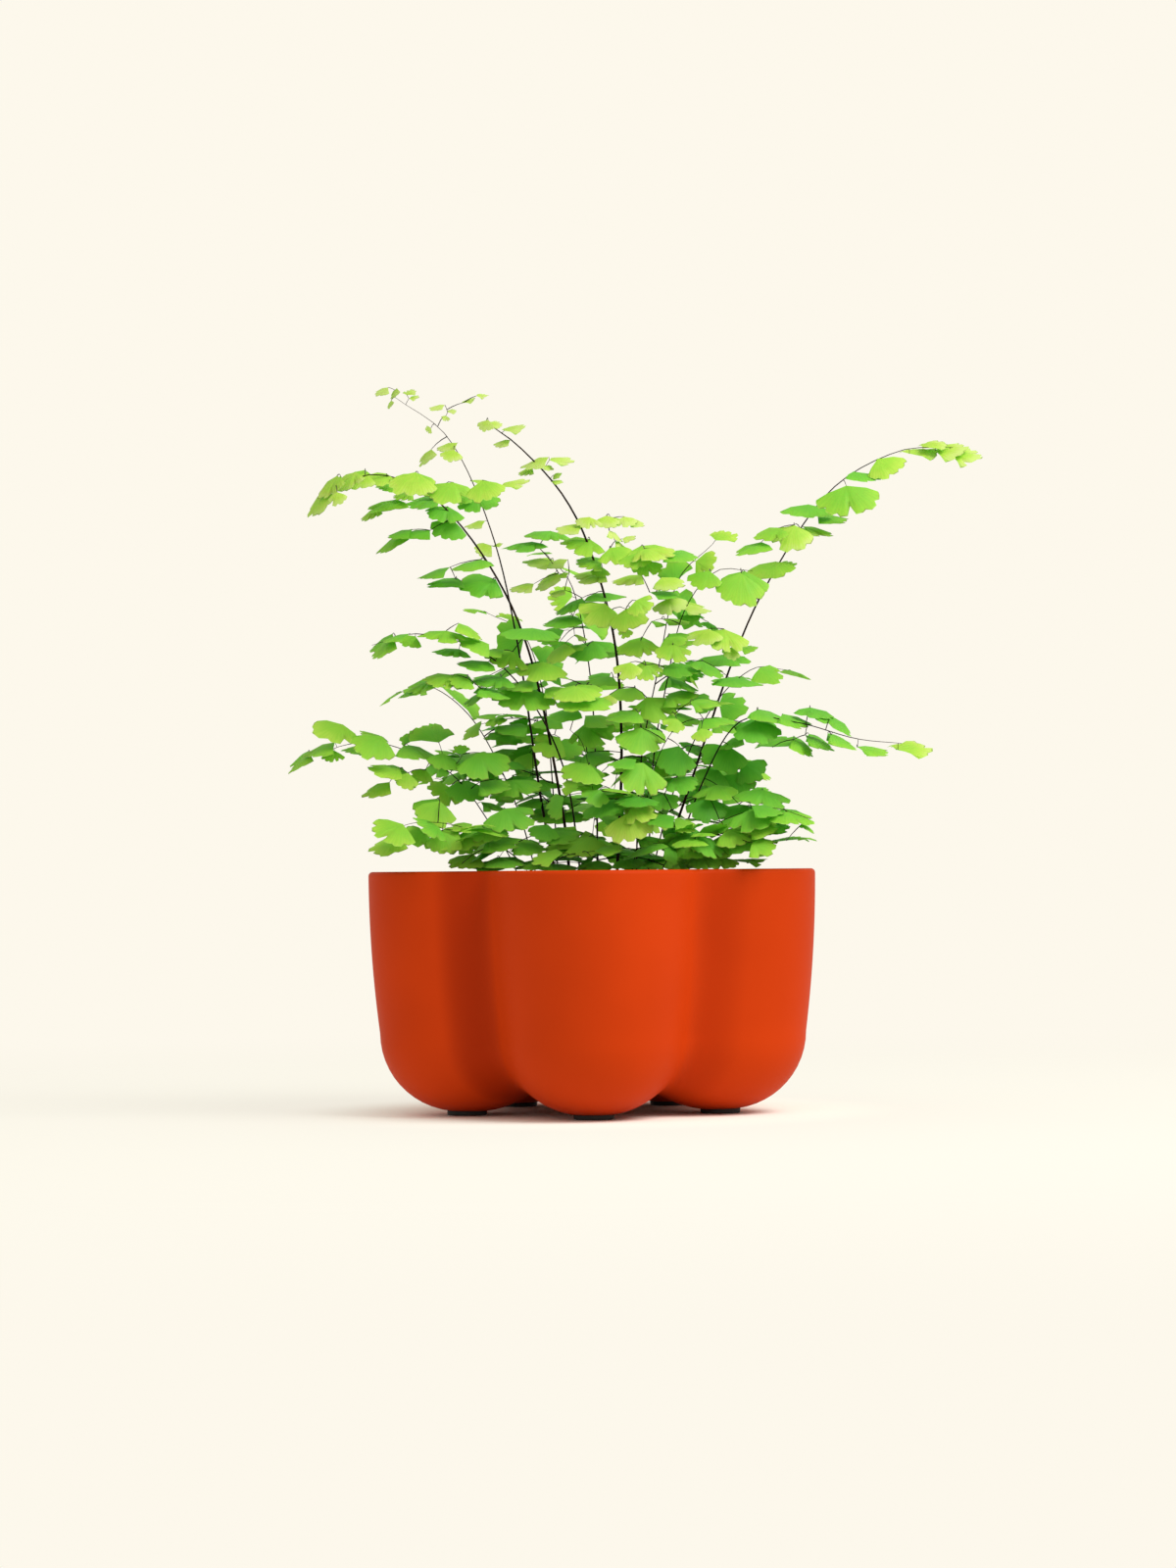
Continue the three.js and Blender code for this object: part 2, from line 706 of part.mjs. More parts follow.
const glaze = new THREE.MeshStandardMaterial({ color: 0xe0491a, roughness: 0.38, metalness: 0 });
const rubber = new THREE.MeshStandardMaterial({ color: 0x151413, roughness: 0.8, metalness: 0 });
const earth = new THREE.MeshStandardMaterial({ color: 0x3a281b, roughness: 0.95, metalness: 0 });
const leaf = new THREE.MeshStandardMaterial({ color: 0x6cbf2e, roughness: 0.55, metalness: 0 });

const plant = new THREE.Group();

function add(name, geometry, material) {
  const mesh = new THREE.Mesh(geometry, material);
  mesh.name = name;
  plant.add(mesh);
}

add("pot", makePot(), glaze);
lobeAxes.forEach((lobe, i) => add(`foot_${i + 1}`, makeFoot(lobe), rubber));
add("soil", makeSoil(), earth);
for (const { name, geometry } of makeFronds()) add(name, geometry, leaf);

const middle = new THREE.Box3().setFromObject(plant, true).getCenter(new THREE.Vector3());
plant.position.set(-middle.x, -middle.y, 0);

export default plant;
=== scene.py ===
import bisect
import math
import random

import bmesh
import bpy
import numpy as np
from mathutils import Euler, Matrix, Vector, noise
from mathutils.bvhtree import BVHTree


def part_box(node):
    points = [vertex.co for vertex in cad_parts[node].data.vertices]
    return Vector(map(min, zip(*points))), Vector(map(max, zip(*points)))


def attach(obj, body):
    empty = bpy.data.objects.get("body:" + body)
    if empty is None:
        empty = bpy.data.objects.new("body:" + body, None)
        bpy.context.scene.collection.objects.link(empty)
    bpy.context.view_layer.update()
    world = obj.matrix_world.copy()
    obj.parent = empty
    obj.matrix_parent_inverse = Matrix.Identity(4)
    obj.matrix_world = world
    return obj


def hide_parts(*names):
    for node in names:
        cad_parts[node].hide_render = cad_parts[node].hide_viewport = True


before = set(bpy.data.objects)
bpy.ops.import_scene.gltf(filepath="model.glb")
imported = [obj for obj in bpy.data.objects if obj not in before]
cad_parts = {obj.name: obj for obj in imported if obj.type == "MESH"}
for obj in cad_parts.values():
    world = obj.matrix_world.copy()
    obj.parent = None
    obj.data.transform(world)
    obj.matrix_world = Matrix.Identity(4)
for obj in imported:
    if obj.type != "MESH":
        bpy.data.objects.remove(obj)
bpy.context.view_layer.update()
bpy.ops.object.select_all(action="DESELECT")
mm = 0.001
print("frame loaded")


class Value:
    # a number inside a material, on which Python's arithmetic adds Math nodes
    def __init__(self, finish, socket):
        self.finish, self.socket = finish, socket

    def math(self, operation, *values):
        inputs = {i: value for i, value in enumerate(values)}
        return self.finish.node("ShaderNodeMath", {"operation": operation}, inputs)["Value"]

    def __add__(self, other):
        return self.math("ADD", self, other)

    def __sub__(self, other):
        return self.math("SUBTRACT", self, other)

    def __rsub__(self, other):
        return self.math("SUBTRACT", other, self)

    def __mul__(self, other):
        return self.math("MULTIPLY", self, other)

    __radd__ = __add__
    __rmul__ = __mul__

    def sine(self):
        return self.math("SINE", self)

    def ramp(self, low, high):  # 0 up to low, 1 from high, smooth between
        settings = {"interpolation_type": "SMOOTHSTEP"}
        return self.finish.node("ShaderNodeMapRange", settings, {0: self, 1: low, 2: high})["Result"]


class Finish:
    # a material in the making, whose nodes come from node(), and from mix() between two colours
    def __init__(self, name):
        self.material = bpy.data.materials.new(name)
        self.material.use_nodes = True
        self.tree = self.material.node_tree
        self.tree.nodes.clear()

    def node(self, kind, settings={}, inputs={}):
        made = self.tree.nodes.new(kind)
        for key, value in settings.items():
            if key == "stops":
                self.setStops(made.color_ramp, value)
            else:
                setattr(made, key, value)
        for key, value in inputs.items():
            if isinstance(value, Value):
                self.tree.links.new(value.socket, made.inputs[key])
            else:
                made.inputs[key].default_value = value
        return {socket.name: Value(self, socket) for socket in made.outputs if socket.enabled}

    def setStops(self, ramp, stops):
        while len(ramp.elements) < len(stops):
            ramp.elements.new(1)
        for element, (place, colour) in zip(ramp.elements, stops):
            element.position = place
            element.color = (*colour, 1)

    def mix(self, factor, one, other):  # between two colours
        made = self.tree.nodes.new("ShaderNodeMix")
        made.data_type = "RGBA"
        for index, value in ((0, factor), (6, one), (7, other)):
            if isinstance(value, Value):
                self.tree.links.new(value.socket, made.inputs[index])
            else:
                made.inputs[index].default_value = value if index == 0 else (*value, 1)
        return Value(self, made.outputs[2])

    def place(self):  # where a point of the piece is, in metres
        return self.node("ShaderNodeTexCoord")["Object"]

    def noise(self, scale, detail=3, rough=0.5):
        inputs = {"Vector": self.place(), "Scale": scale, "Detail": detail, "Roughness": rough}
        return self.node("ShaderNodeTexNoise", {}, inputs)["Fac"]

    def bump(self, height, strength, distance):
        inputs = {"Height": height, "Strength": strength, "Distance": distance}
        return self.node("ShaderNodeBump", {}, inputs)["Normal"]

    def skin(self, inputs):
        return self.node("ShaderNodeBsdfPrincipled", {}, inputs)["BSDF"]

    def surface(self, shader):
        self.node("ShaderNodeOutputMaterial", {}, {"Surface": shader})
        return self.material


glaze = {
    "red": (0.56, 0.044, 0.003),
    "deep": (0.52, 0.04, 0.0026),
    # painted shade: the darker red laid into the creases between the lobes
    "creaseShade": (0.36, 0.024, 0.0015),
    "cloudScale": 24,
    "cloudRange": (0.35, 0.7),
    "roughness": 0.5,
    "roughSway": 0.08,
    "gloss": 0.04,
    "poreScale": 900,
    "poreStrength": 0.12,
    "poreDepth": 0.0002,
    # the creases' painted shade is shifted out onto the lobes beside each crease, as the front lobe's shadow
    # falls on the left one, and is lighter on the right, towards the lamp, than on the left
    "creaseShift": 0.13,
    "creaseRange": (0.75, 1.0),
    "creaseShare": 0.58,
    "creasePaler": 0.42,  # on the right, and as much darker on the left
}


def glazeFinish():
    finish = Finish("glaze")
    cloud = finish.noise(glaze["cloudScale"], 2)
    pores = finish.noise(glaze["poreScale"], 2)
    place = finish.node("ShaderNodeSeparateXYZ", {}, {"Vector": finish.place()})
    right = place["X"] - potAxis.x
    around = right.math("ARCTAN2", right, potAxis.y - place["Y"])
    side = around.sine()
    # painted shade in the creases between the lobes, heavier on the left, away from the lamp
    creaseShade = (pot["lobes"] * (around - glaze["creaseShift"] * side) + math.pi / 2).sine() * -1
    paintedShadeShare = glaze["creaseShare"] - glaze["creasePaler"] * side
    colour = finish.mix(cloud.ramp(*glaze["cloudRange"]), glaze["deep"], glaze["red"])
    inputs = {
        "Base Color": finish.mix(creaseShade.ramp(*glaze["creaseRange"]) * paintedShadeShare, colour, glaze["creaseShade"]),
        "Roughness": glaze["roughness"] + glaze["roughSway"] * (cloud - 0.5),
        "Specular IOR Level": glaze["gloss"],
        "Normal": finish.bump(pores, glaze["poreStrength"], glaze["poreDepth"]),
    }
    return finish.surface(finish.skin(inputs))


rubber = {
    "dark": (0.008, 0.008, 0.008),
    "worn": (0.02, 0.019, 0.018),
    "grainScale": 1500,
    "grainStrength": 0.3,
    "grainDepth": 0.0002,
    "roughness": 0.6,
    "roughSway": 0.2,
}


def rubberFinish():
    finish = Finish("rubber")
    grain = finish.noise(rubber["grainScale"], 2)
    inputs = {
        "Base Color": finish.mix(grain, rubber["dark"], rubber["worn"]),
        "Roughness": rubber["roughness"] + rubber["roughSway"] * grain,
        "Normal": finish.bump(grain, rubber["grainStrength"], rubber["grainDepth"]),
    }
    return finish.surface(finish.skin(inputs))


earth = {
    "dark": (0.022, 0.013, 0.008),
    "brown": (0.075, 0.043, 0.024),
    "dry": (0.17, 0.11, 0.065),
    "lumpScale": 160,
    "lumpRange": (0.35, 0.65),
    "grainScale": 900,
    "dryRange": (0.62, 0.8),
    "roughness": 0.85,
    "roughSway": 0.15,
    "gloss": 0.2,
    "strength": 0.7,
    "depth": 0.001,
}


def earthFinish():
    finish = Finish("earth")
    lumps = finish.noise(earth["lumpScale"], 6, 0.65)
    grains = finish.noise(earth["grainScale"], 3)
    colour = finish.mix(lumps.ramp(*earth["lumpRange"]), earth["dark"], earth["brown"])
    inputs = {
        "Base Color": finish.mix(grains.ramp(*earth["dryRange"]), colour, earth["dry"]),
        "Roughness": earth["roughness"] + earth["roughSway"] * grains,
        "Specular IOR Level": earth["gloss"],
        "Normal": finish.bump(lumps + 0.5 * grains, earth["strength"], earth["depth"]),
    }
    return finish.surface(finish.skin(inputs))


stemColours = {
    "black": (0.005, 0.003, 0.002),
    "brown": (0.03, 0.012, 0.006),
    "green": (0.12, 0.13, 0.04),
    "streakScale": 240,
    "streakRange": (0.4, 0.75),
    "roughSway": 0.15,
    "gloss": 0.06,
}


def stemFinish(name, dark, light, roughness):
    finish = Finish(name)
    streak = finish.noise(stemColours["streakScale"], 2)
    colour = finish.mix(streak.ramp(*stemColours["streakRange"]), stemColours[dark], stemColours[light])
    inputs = {
        "Base Color": colour,
        "Roughness": roughness + stemColours["roughSway"] * streak,
        "Specular IOR Level": stemColours["gloss"],
    }
    return finish.surface(finish.skin(inputs))


leafColours = {
    "deep": (0.022, 0.23, 0.016),
    "old": (0.105, 0.43, 0.036),
    "grown": (0.225, 0.58, 0.048),
    "fresh": (0.4, 0.69, 0.06),
    "bright": (0.6, 0.77, 0.1),
    "young": (0.74, 0.81, 0.25),
    "scorch": (0.16, 0.1, 0.025),
    "margin": (0.6, 0.8, 0.17),
    "through": (0.28, 0.86, 0.06),  # light that comes through a blade
    "thinness": 0.36,
    "ages": {"deep": 0, "old": 0.25, "grown": 0.5, "fresh": 0.75, "bright": 0.9, "young": 1},
    "patchScale": 210,
    "patchShade": 0.2,
    "veins": 120,
    "veinWander": 0.02,
    "veinShade": 0.06,
    "veinStrength": 0.1,
    "veinDepth": 0.0002,
    "outerFrom": 0.35,  # a blade's outer part is paler
    "outerShade": 0.14,
    "edgeRange": (0.94, 0.99),
    "marginRange": (0.3, 0.6),
    "marginShare": 0.6,
    "scorchRange": (0.46, 0.58),
    "scorchShare": 0.75,
    "roughness": 0.5,
    "roughSway": 0.15,
    "gloss": 0.3,
}


def leafFinish():
    finish = Finish("leaf")
    tint = finish.node("ShaderNodeAttribute", {"attribute_name": "tint"})["Fac"]
    blade = finish.node("ShaderNodeUVMap", {"uv_map": "blade"})["UV"]
    split = finish.node("ShaderNodeSeparateXYZ", {}, {"Vector": blade})
    across, out = split["X"], split["Y"]
    patches = finish.noise(leafColours["patchScale"], 3, 0.6)
    veins = (leafColours["veins"] * (across + leafColours["veinWander"] * patches)).sine() * 0.5 + 0.5
    stops = [(age, leafColours[name]) for name, age in leafColours["ages"].items()]
    shade = tint + leafColours["patchShade"] * (patches - 0.5)
    shade += leafColours["outerShade"] * (out.ramp(leafColours["outerFrom"], 1.0) - 0.4)
    shade += leafColours["veinShade"] * (veins - 0.5)
    green = finish.node("ShaderNodeValToRGB", {"stops": stops}, {"Fac": shade})["Color"]
    edge = out.ramp(*leafColours["edgeRange"])
    margin = edge * tint.ramp(*leafColours["marginRange"]) * leafColours["marginShare"]
    scorch = edge * patches.ramp(*leafColours["scorchRange"]) * leafColours["scorchShare"]
    pale = finish.mix(margin, green, leafColours["margin"])
    inputs = {
        "Base Color": finish.mix(scorch, pale, leafColours["scorch"]),
        "Roughness": leafColours["roughness"] + leafColours["roughSway"] * patches,
        "Specular IOR Level": leafColours["gloss"],
        "Normal": finish.bump(veins, leafColours["veinStrength"], leafColours["veinDepth"]),
    }
    front = finish.skin(inputs)
    through = finish.node("ShaderNodeBsdfTranslucent", {}, {"Color": (*leafColours["through"], 1)})["BSDF"]
    mixed = {0: leafColours["thinness"], 1: front, 2: through}
    return finish.surface(finish.node("ShaderNodeMixShader", {}, mixed)["Shader"])


rubberMaterial = rubberFinish()
earthMaterial = earthFinish()
darkStem = stemFinish("stem", "black", "brown", 0.3)
thinStem = stemFinish("stalk", "brown", "green", 0.4)
leafMaterial = leafFinish()
print("materials ready")

pot = {  # five round lobes that blend, the first towards the camera
    "lobes": 5,
    "height": 86 * mm,
    "lobeCentre": 47 * mm,
    "lobeRadius": 30.5 * mm,
    "roundBottom": 27.5 * mm,
    "flare": 3.7 * mm,
    "base": 1.5 * mm,
    "coreRadius": 40 * mm,
    "coreBase": 13 * mm,
    "coreRound": 8 * mm,
    "blend": 4.8 * mm,
    "wall": 5 * mm,
    "rimRound": 1.5 * mm,
    "turns": 240,
    "pivotOut": 30 * mm,  # rays from here find the underside
    "pivotUp": 34 * mm,
    "reach": 120 * mm,
    "halvings": 40,  # in the search for the skin along a ray
    "underAngles": range(-150, 0, 4),  # degrees
    "sideStep": 4 * mm,
    "sideRings": 12,
    "rimAngles": (0, 18, 36, 54, 72, 90),
    "innerHeights": (80, 74, 60, 45, 34),  # mm
    "innerAngles": (-30, -55, -90),
    "smoothUpTo": 50,
}
footBoxes = [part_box(f"foot_{i + 1}") for i in range(pot["lobes"])]
footCentres = [(low + high) / 2 for low, high in footBoxes]
potAxis = sum((c.xy for c in footCentres), Vector((0, 0))) / pot["lobes"]
turns = np.arange(pot["turns"]) * 2 * math.pi / pot["turns"] - math.pi / 2


def drumDistance(x, y, z, radius, base, rounding):
    out = np.hypot(x, y) - (radius - rounding)
    down = base + rounding - z
    corner = np.hypot(np.maximum(out, 0), np.maximum(down, 0))
    return corner + np.minimum(np.maximum(out, down), 0) - rounding


def potDistance(x, y, z):
    start = pot["base"] + pot["roundBottom"]
    share = np.clip((z - start) / (pot["height"] - start), 0, 1)
    radius = pot["lobeRadius"] + pot["flare"] * (1 - (1 - share) ** 2)
    core = drumDistance(x, y, z, pot["coreRadius"], pot["coreBase"], pot["coreRound"])
    total = np.exp(-core / pot["blend"])
    for i in range(pot["lobes"]):
        angle = i * 2 * math.pi / pot["lobes"] - math.pi / 2
        dx = x - pot["lobeCentre"] * math.cos(angle)
        dy = y - pot["lobeCentre"] * math.sin(angle)
        total += np.exp(-drumDistance(dx, dy, z, radius, pot["base"], pot["roundBottom"]) / pot["blend"])
    return -pot["blend"] * np.log(total)


def ringAt(out, up, pitch, inset):  # where rays from (out, up) in each half-plane leave the skin
    near = np.zeros(pot["turns"])
    far = np.full(pot["turns"], pot["reach"])
    for _ in range(pot["halvings"]):
        middle = (near + far) / 2
        s = out + middle * math.cos(pitch)
        z = up + middle * math.sin(pitch)
        inside = potDistance(s * np.cos(turns), s * np.sin(turns), z) < -inset
        near = np.where(inside, middle, near)
        far = np.where(inside, far, middle)
    s = out + near * math.cos(pitch)
    z = up + near * math.sin(pitch)
    return np.stack([s * np.cos(turns) + potAxis.x, s * np.sin(turns) + potAxis.y, z + 0 * s], axis=1)


def levelRing(z, inset):
    return ringAt(0, z, 0, inset)


def undersideRing(degrees, inset):
    return ringAt(pot["pivotOut"], pot["pivotUp"], math.radians(degrees), inset)


def ringSkin(name, rings):  # a circle drawn on from ring to ring, and closed at both ends
    bpy.ops.mesh.primitive_circle_add(vertices=pot["turns"], radius=1, location=(0, 0, 0))
    piece = bpy.context.object
    piece.name = name
    bpy.ops.object.mode_set(mode="EDIT")
    mesh = bmesh.from_edit_mesh(piece.data)
    order = sorted(mesh.verts, key=lambda v: math.atan2(v.co.x, -v.co.y) % (2 * math.pi))
    for vertex, point in zip(order, rings[0]):
        vertex.co = point
    previous = rings[0]
    for ring in rings[1:]:
        bpy.ops.mesh.extrude_edges_move()
        mesh = bmesh.from_edit_mesh(piece.data)
        places = {tuple(np.round(p, 6)): q for p, q in zip(previous.astype(np.float32), ring)}
        for vertex in mesh.verts:
            if vertex.select:
                vertex.co = places[tuple(np.round(np.array(vertex.co, np.float32), 6))]
        previous = ring
    bpy.ops.mesh.merge(type="CENTER")
    mesh = bmesh.from_edit_mesh(piece.data)
    for edge in mesh.edges:
        edge.select_set(edge.is_boundary)
    bpy.ops.mesh.extrude_edges_move()
    bpy.ops.mesh.merge(type="CENTER")
    bpy.ops.mesh.select_all(action="SELECT")
    bpy.ops.mesh.normals_make_consistent(inside=False)
    bpy.ops.object.mode_set(mode="OBJECT")
    bpy.ops.object.shade_smooth_by_angle(angle=math.radians(pot["smoothUpTo"]))
    return piece


def makePot():
    top, wall, rim = pot["height"], pot["wall"], pot["rimRound"]
    rings = [undersideRing(a, 0) for a in pot["underAngles"]]
    rings += [levelRing(pot["pivotUp"] + pot["sideStep"] * (i + 1), 0) for i in range(pot["sideRings"])]
    quarter = [math.radians(a) for a in pot["rimAngles"]]
    rings += [levelRing(top - rim + rim * math.sin(a), rim - rim * math.cos(a)) for a in quarter]
    rings += [levelRing(top - rim + rim * math.cos(a), wall - rim + rim * math.sin(a)) for a in quarter]
    rings += [levelRing(z * mm, wall) for z in pot["innerHeights"]]
    rings += [undersideRing(a, wall) for a in pot["innerAngles"]]
    return ringSkin("pot_glazed", rings)


def dress(piece, slot, *materials):
    for material in materials:
        piece.data.materials.append(material)
    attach(piece, "root")


potPiece = makePot()
dress(potPiece, "glaze", glazeFinish())
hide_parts("pot")
print("pot done")

foot = {
    "bevel": 0.45 * mm,
    "bevelSteps": 3,
    "sides": 56,
    "recess": 1.6 * mm,
    "dish": 0.35 * mm,
    "smoothUpTo": 35,
}


def makeFoot(number, low, high):
    centre, size = (low + high) / 2, high - low
    bpy.ops.mesh.primitive_cylinder_add(
        vertices=foot["sides"], radius=size.y / 2, depth=size.z, location=centre, end_fill_type="NGON"
    )
    piece = bpy.context.object
    piece.name = f"foot_{number}_rubber"
    bpy.ops.object.transform_apply(location=True, rotation=True, scale=True)
    bevel = piece.modifiers.new("edge", "BEVEL")
    bevel.width, bevel.segments, bevel.limit_method = foot["bevel"], foot["bevelSteps"], "ANGLE"
    bpy.ops.object.modifier_apply(modifier=bevel.name)
    bpy.ops.object.mode_set(mode="EDIT")
    mesh = bmesh.from_edit_mesh(piece.data)
    for face in mesh.faces:  # the disc underneath, and not the bevel round it
        face.select_set(face.normal.z < -0.9 and face.calc_area() > size.x ** 2 / 2)
    bpy.ops.mesh.inset(thickness=foot["recess"])
    bpy.ops.mesh.inset(thickness=foot["dish"])
    bpy.ops.transform.translate(value=(0, 0, foot["dish"]))
    bpy.ops.object.mode_set(mode="OBJECT")
    bpy.ops.object.shade_smooth_by_angle(angle=math.radians(foot["smoothUpTo"]))
    dress(piece, "rubber", rubberMaterial)
    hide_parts(f"foot_{number}")


for i, (low, high) in enumerate(footBoxes):
    makeFoot(i + 1, low, high)
print("feet done")

soil = {
    "sunk": 0.6 * mm,  # into the pot's wall
    "edgeDrop": 7 * mm,
    "crownDrop": 4 * mm,
    "depth": 12 * mm,
    "rings": 34,
    "covered": 0.98,  # share of the way to the middle
    "crownPower": 2.4,
    "edgePower": 6,  # the lumps fade towards the wall
    "lump": 1.1 * mm,
    "lumpScale": 120,
    "lumpSlice": 0.3,
    "lumpNoise": (0.8, 2.1, 4),
    "crumbs": 900,
    "crumbSizes": (0.45 * mm, 1.5 * mm),
    "crumbPower": 2.5,  # most are small
    "crumbStretch": (0.6, 1.2),
    "crumbRise": 0.2,
    "seed": 7,
}


def soilHeight(x, y, share):  # share is 0 at the axis and 1 at the wall
    rise = (soil["edgeDrop"] - soil["crownDrop"]) * (1 - share ** soil["crownPower"])
    spot = Vector((x, y, soil["lumpSlice"])) * soil["lumpScale"]
    rough = noise.fractal(spot, *soil["lumpNoise"]) * soil["lump"]
    return pot["height"] - soil["edgeDrop"] + rise + rough * (1 - share ** soil["edgePower"])


def makeSoil():
    edge = levelRing(pot["height"] - soil["edgeDrop"], pot["wall"] - soil["sunk"])
    deep = edge.copy()
    deep[:, 2] -= soil["depth"]
    middle = np.array([potAxis.x, potAxis.y, 0])
    rings = [deep]
    for i in range(soil["rings"]):
        share = 1 - (i / soil["rings"]) * soil["covered"]
        ring = middle + (edge - middle) * share
        ring[:, 2] = [soilHeight(x, y, share) for x, y, _ in ring]
        rings.append(ring)
    return ringSkin("soil_mound", rings)


def makeCrumbs():
    bpy.ops.mesh.primitive_ico_sphere_add(subdivisions=1, radius=1, location=(0, 0, 0))
    crumb = bpy.context.object
    draw = random.Random(soil["seed"])
    ring = levelRing(pot["height"] - soil["edgeDrop"], pot["wall"] + soil["crumbSizes"][1])
    middle = Vector((*potAxis, 0))
    pile = bmesh.new()
    for _ in range(soil["crumbs"]):
        rimPoint = Vector(ring[draw.randrange(len(ring))])
        share = math.sqrt(draw.random())
        x, y, _ = middle + (rimPoint - middle) * share
        low, high = soil["crumbSizes"]
        size = low + (high - low) * draw.random() ** soil["crumbPower"]
        start = len(pile.verts)
        pile.from_mesh(crumb.data)
        pile.verts.ensure_lookup_table()
        turn = Euler([draw.uniform(0, 6) for _ in range(3)]).to_matrix().to_4x4()
        stretch = Matrix.Diagonal([size * draw.uniform(*soil["crumbStretch"]) for _ in range(3)] + [1])
        spot = (x, y, soilHeight(x, y, share) + soil["crumbRise"] * size)
        placing = Matrix.Translation(spot) @ turn @ stretch
        bmesh.ops.transform(pile, matrix=placing, verts=pile.verts[start:])
    pile.to_mesh(crumb.data)
    pile.free()
    crumb.name = "soil_crumbs"
    return crumb


soilPiece = makeSoil()
dress(soilPiece, "soil", earthMaterial)
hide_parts("soil")
bpy.ops.object.select_all(action="DESELECT")
dress(makeCrumbs(), "soil", earthMaterial)
print("soil done")

leaflet = {  # a few fans with lobed edges, modelled once and copied
    "shapes": 12,
    "halfAngles": (56, 82),
    "lobes": (5, 4, 6),
    "perLobe": (0, 0.27, 0.73),
    "shoulder": 0.2,
    "notch": 0.13,
    "cleft": 0.26,
    "uneven": 0.16,  # from lobe to lobe
    "cup": 0.15,
    "ripple": 0.05,
    "lobeRound": 0.4,
    "lean": 0.09,
    "waves": 3.5,
    "notched": (0.05, 0.95),
    "thickness": 0.022,
    "rings": (0.0, 0.52, 1.0),
    "merge": 1e-4,
    "planAngles": (-69, -46, -23, 0, 23, 46, 69),  # of a fan of middling width
    "seed": 21,
}


def fanPoint(across, out, half, lobes, reaches, clefts, lean, ripple):
    angle = (2 * across - 1) * half
    phase = across * lobes
    bump = abs(math.sin(math.pi * phase)) ** leaflet["lobeRound"]
    depth = leaflet["notch"] + leaflet["cleft"] * (round(phase) in clefts)
    edge = 1 - leaflet["shoulder"] * abs(2 * across - 1) ** 3
    edge *= (1 + lean * (2 * across - 1)) * reaches[min(int(phase), lobes - 1)]
    first, last = leaflet["notched"]
    edge *= 1 - depth * (1 - bump) * (first < across < last)
    reach = out * (1 + (edge - 1) * out ** 2)
    wave = ripple * math.sin(leaflet["waves"] * angle + 2 * lean) * out ** 2
    sunk = -leaflet["cup"] * out ** 2 + wave
    return Vector((reach * math.cos(angle), reach * math.sin(angle), sunk))


def makeLeaflet(number, draw):
    half = math.radians(draw.uniform(*leaflet["halfAngles"]))
    lobes = leaflet["lobes"][number % len(leaflet["lobes"])]
    reaches = [1 - leaflet["uneven"] * draw.random() for _ in range(lobes)]
    clefts = {draw.randint(1, lobes - 1) for _ in range(number % 3)}
    lean = draw.uniform(-leaflet["lean"], leaflet["lean"])
    ripple = draw.uniform(-1, 1) * leaflet["ripple"]
    steps = [(lobe + part) / lobes for lobe in range(lobes) for part in leaflet["perLobe"]] + [1]
    columns = len(steps) - 1
    bpy.ops.mesh.primitive_grid_add(x_subdivisions=2, y_subdivisions=columns, size=1, location=(0, 0, 0))
    fan = bpy.context.object
    fan.name = f"leaflet_shape_{number}"
    uv = fan.data.uv_layers[0]
    uv.name = "blade"
    for loop in fan.data.loops:
        grid = fan.data.vertices[loop.vertex_index].co
        uv.data[loop.index].uv = (grid.y + 0.5, leaflet["rings"][round((grid.x + 0.5) * 2)])
    for vertex in fan.data.vertices:
        out = leaflet["rings"][round((vertex.co.x + 0.5) * 2)]
        across = steps[round((vertex.co.y + 0.5) * columns)]
        vertex.co = fanPoint(across, out, half, lobes, reaches, clefts, lean, ripple)
    bpy.ops.object.mode_set(mode="EDIT")
    bpy.ops.mesh.select_all(action="SELECT")
    bpy.ops.mesh.remove_doubles(threshold=leaflet["merge"])
    bpy.ops.mesh.duplicate()
    bpy.ops.mesh.flip_normals()
    mesh = bmesh.from_edit_mesh(fan.data)
    for vertex in mesh.verts:
        vertex.select_set(vertex.select and not vertex.is_boundary)
    bpy.ops.mesh.select_mode(type="VERT")
    bpy.ops.transform.translate(value=(0, 0, -leaflet["thickness"]))
    mesh = bmesh.from_edit_mesh(fan.data)
    for edge in mesh.edges:
        edge.smooth = not edge.is_boundary
    bpy.ops.mesh.select_all(action="SELECT")
    bpy.ops.mesh.remove_doubles(threshold=leaflet["merge"])
    bpy.ops.object.mode_set(mode="OBJECT")
    fan.data.shade_smooth()
    bpy.ops.object.select_all(action="DESELECT")
    return fan


leafletDraw = random.Random(leaflet["seed"])
leafletShapes = [makeLeaflet(i, leafletDraw) for i in range(leaflet["shapes"])]
print("leaflet shapes done")

camera = {  # from where the pot's axis meets the floor, in mm and degrees
    "away": 1468,
    "height": 86,
    "aside": -1.05,
    "pitch": 1.2,
    "roll": -0.5,
    "lens": 94.4,
    "sensor": 36,
    "clip": (0.05, 20),  # metres
}
stem = {
    "radius": 0.56,
    "fullFrom": 200,  # mm: shorter stems are thinner
    "tipRadius": 0.08,
    "taper": 0.6,
    "tapers": {"centre": 0.42, "upper_right": 0.75, "top_left": 1},
    "thicker": {"centre": 1.25, "upper_left": 1.1},
    "youngFrom": 0.9,
    "slenderPower": 1.3,
    "soilTop": 82,
    "collar": 2,
    "holeDepth": 11,
    "points": 36,
    "samples": 200,
}
twig = {
    "pieces": 3,
    "arch": 14,
    "sink": 40,
    "bareShare": 0.16,
    "radius": 0.24,
    "tipRadius": 0.12,
    "longer": 1.04,  # than the frame's sprays
    "shorter": 0.86,  # on the fronds named inner and back
    "points": 8,
    "samples": 24,
    "branchPoints": 5,
    "branchRadius": 0.8,
    "branchBare": 0.35,
    "branchSize": 0.94,
}
stalk = {
    "length": 2.2,
    "shortest": 0.5,
    "spread": 0.7,
    "radius": 0.1,
    "rise": 0.25,
    "bow": 0.12,
    "overlap": 0.1,  # with the blade
}
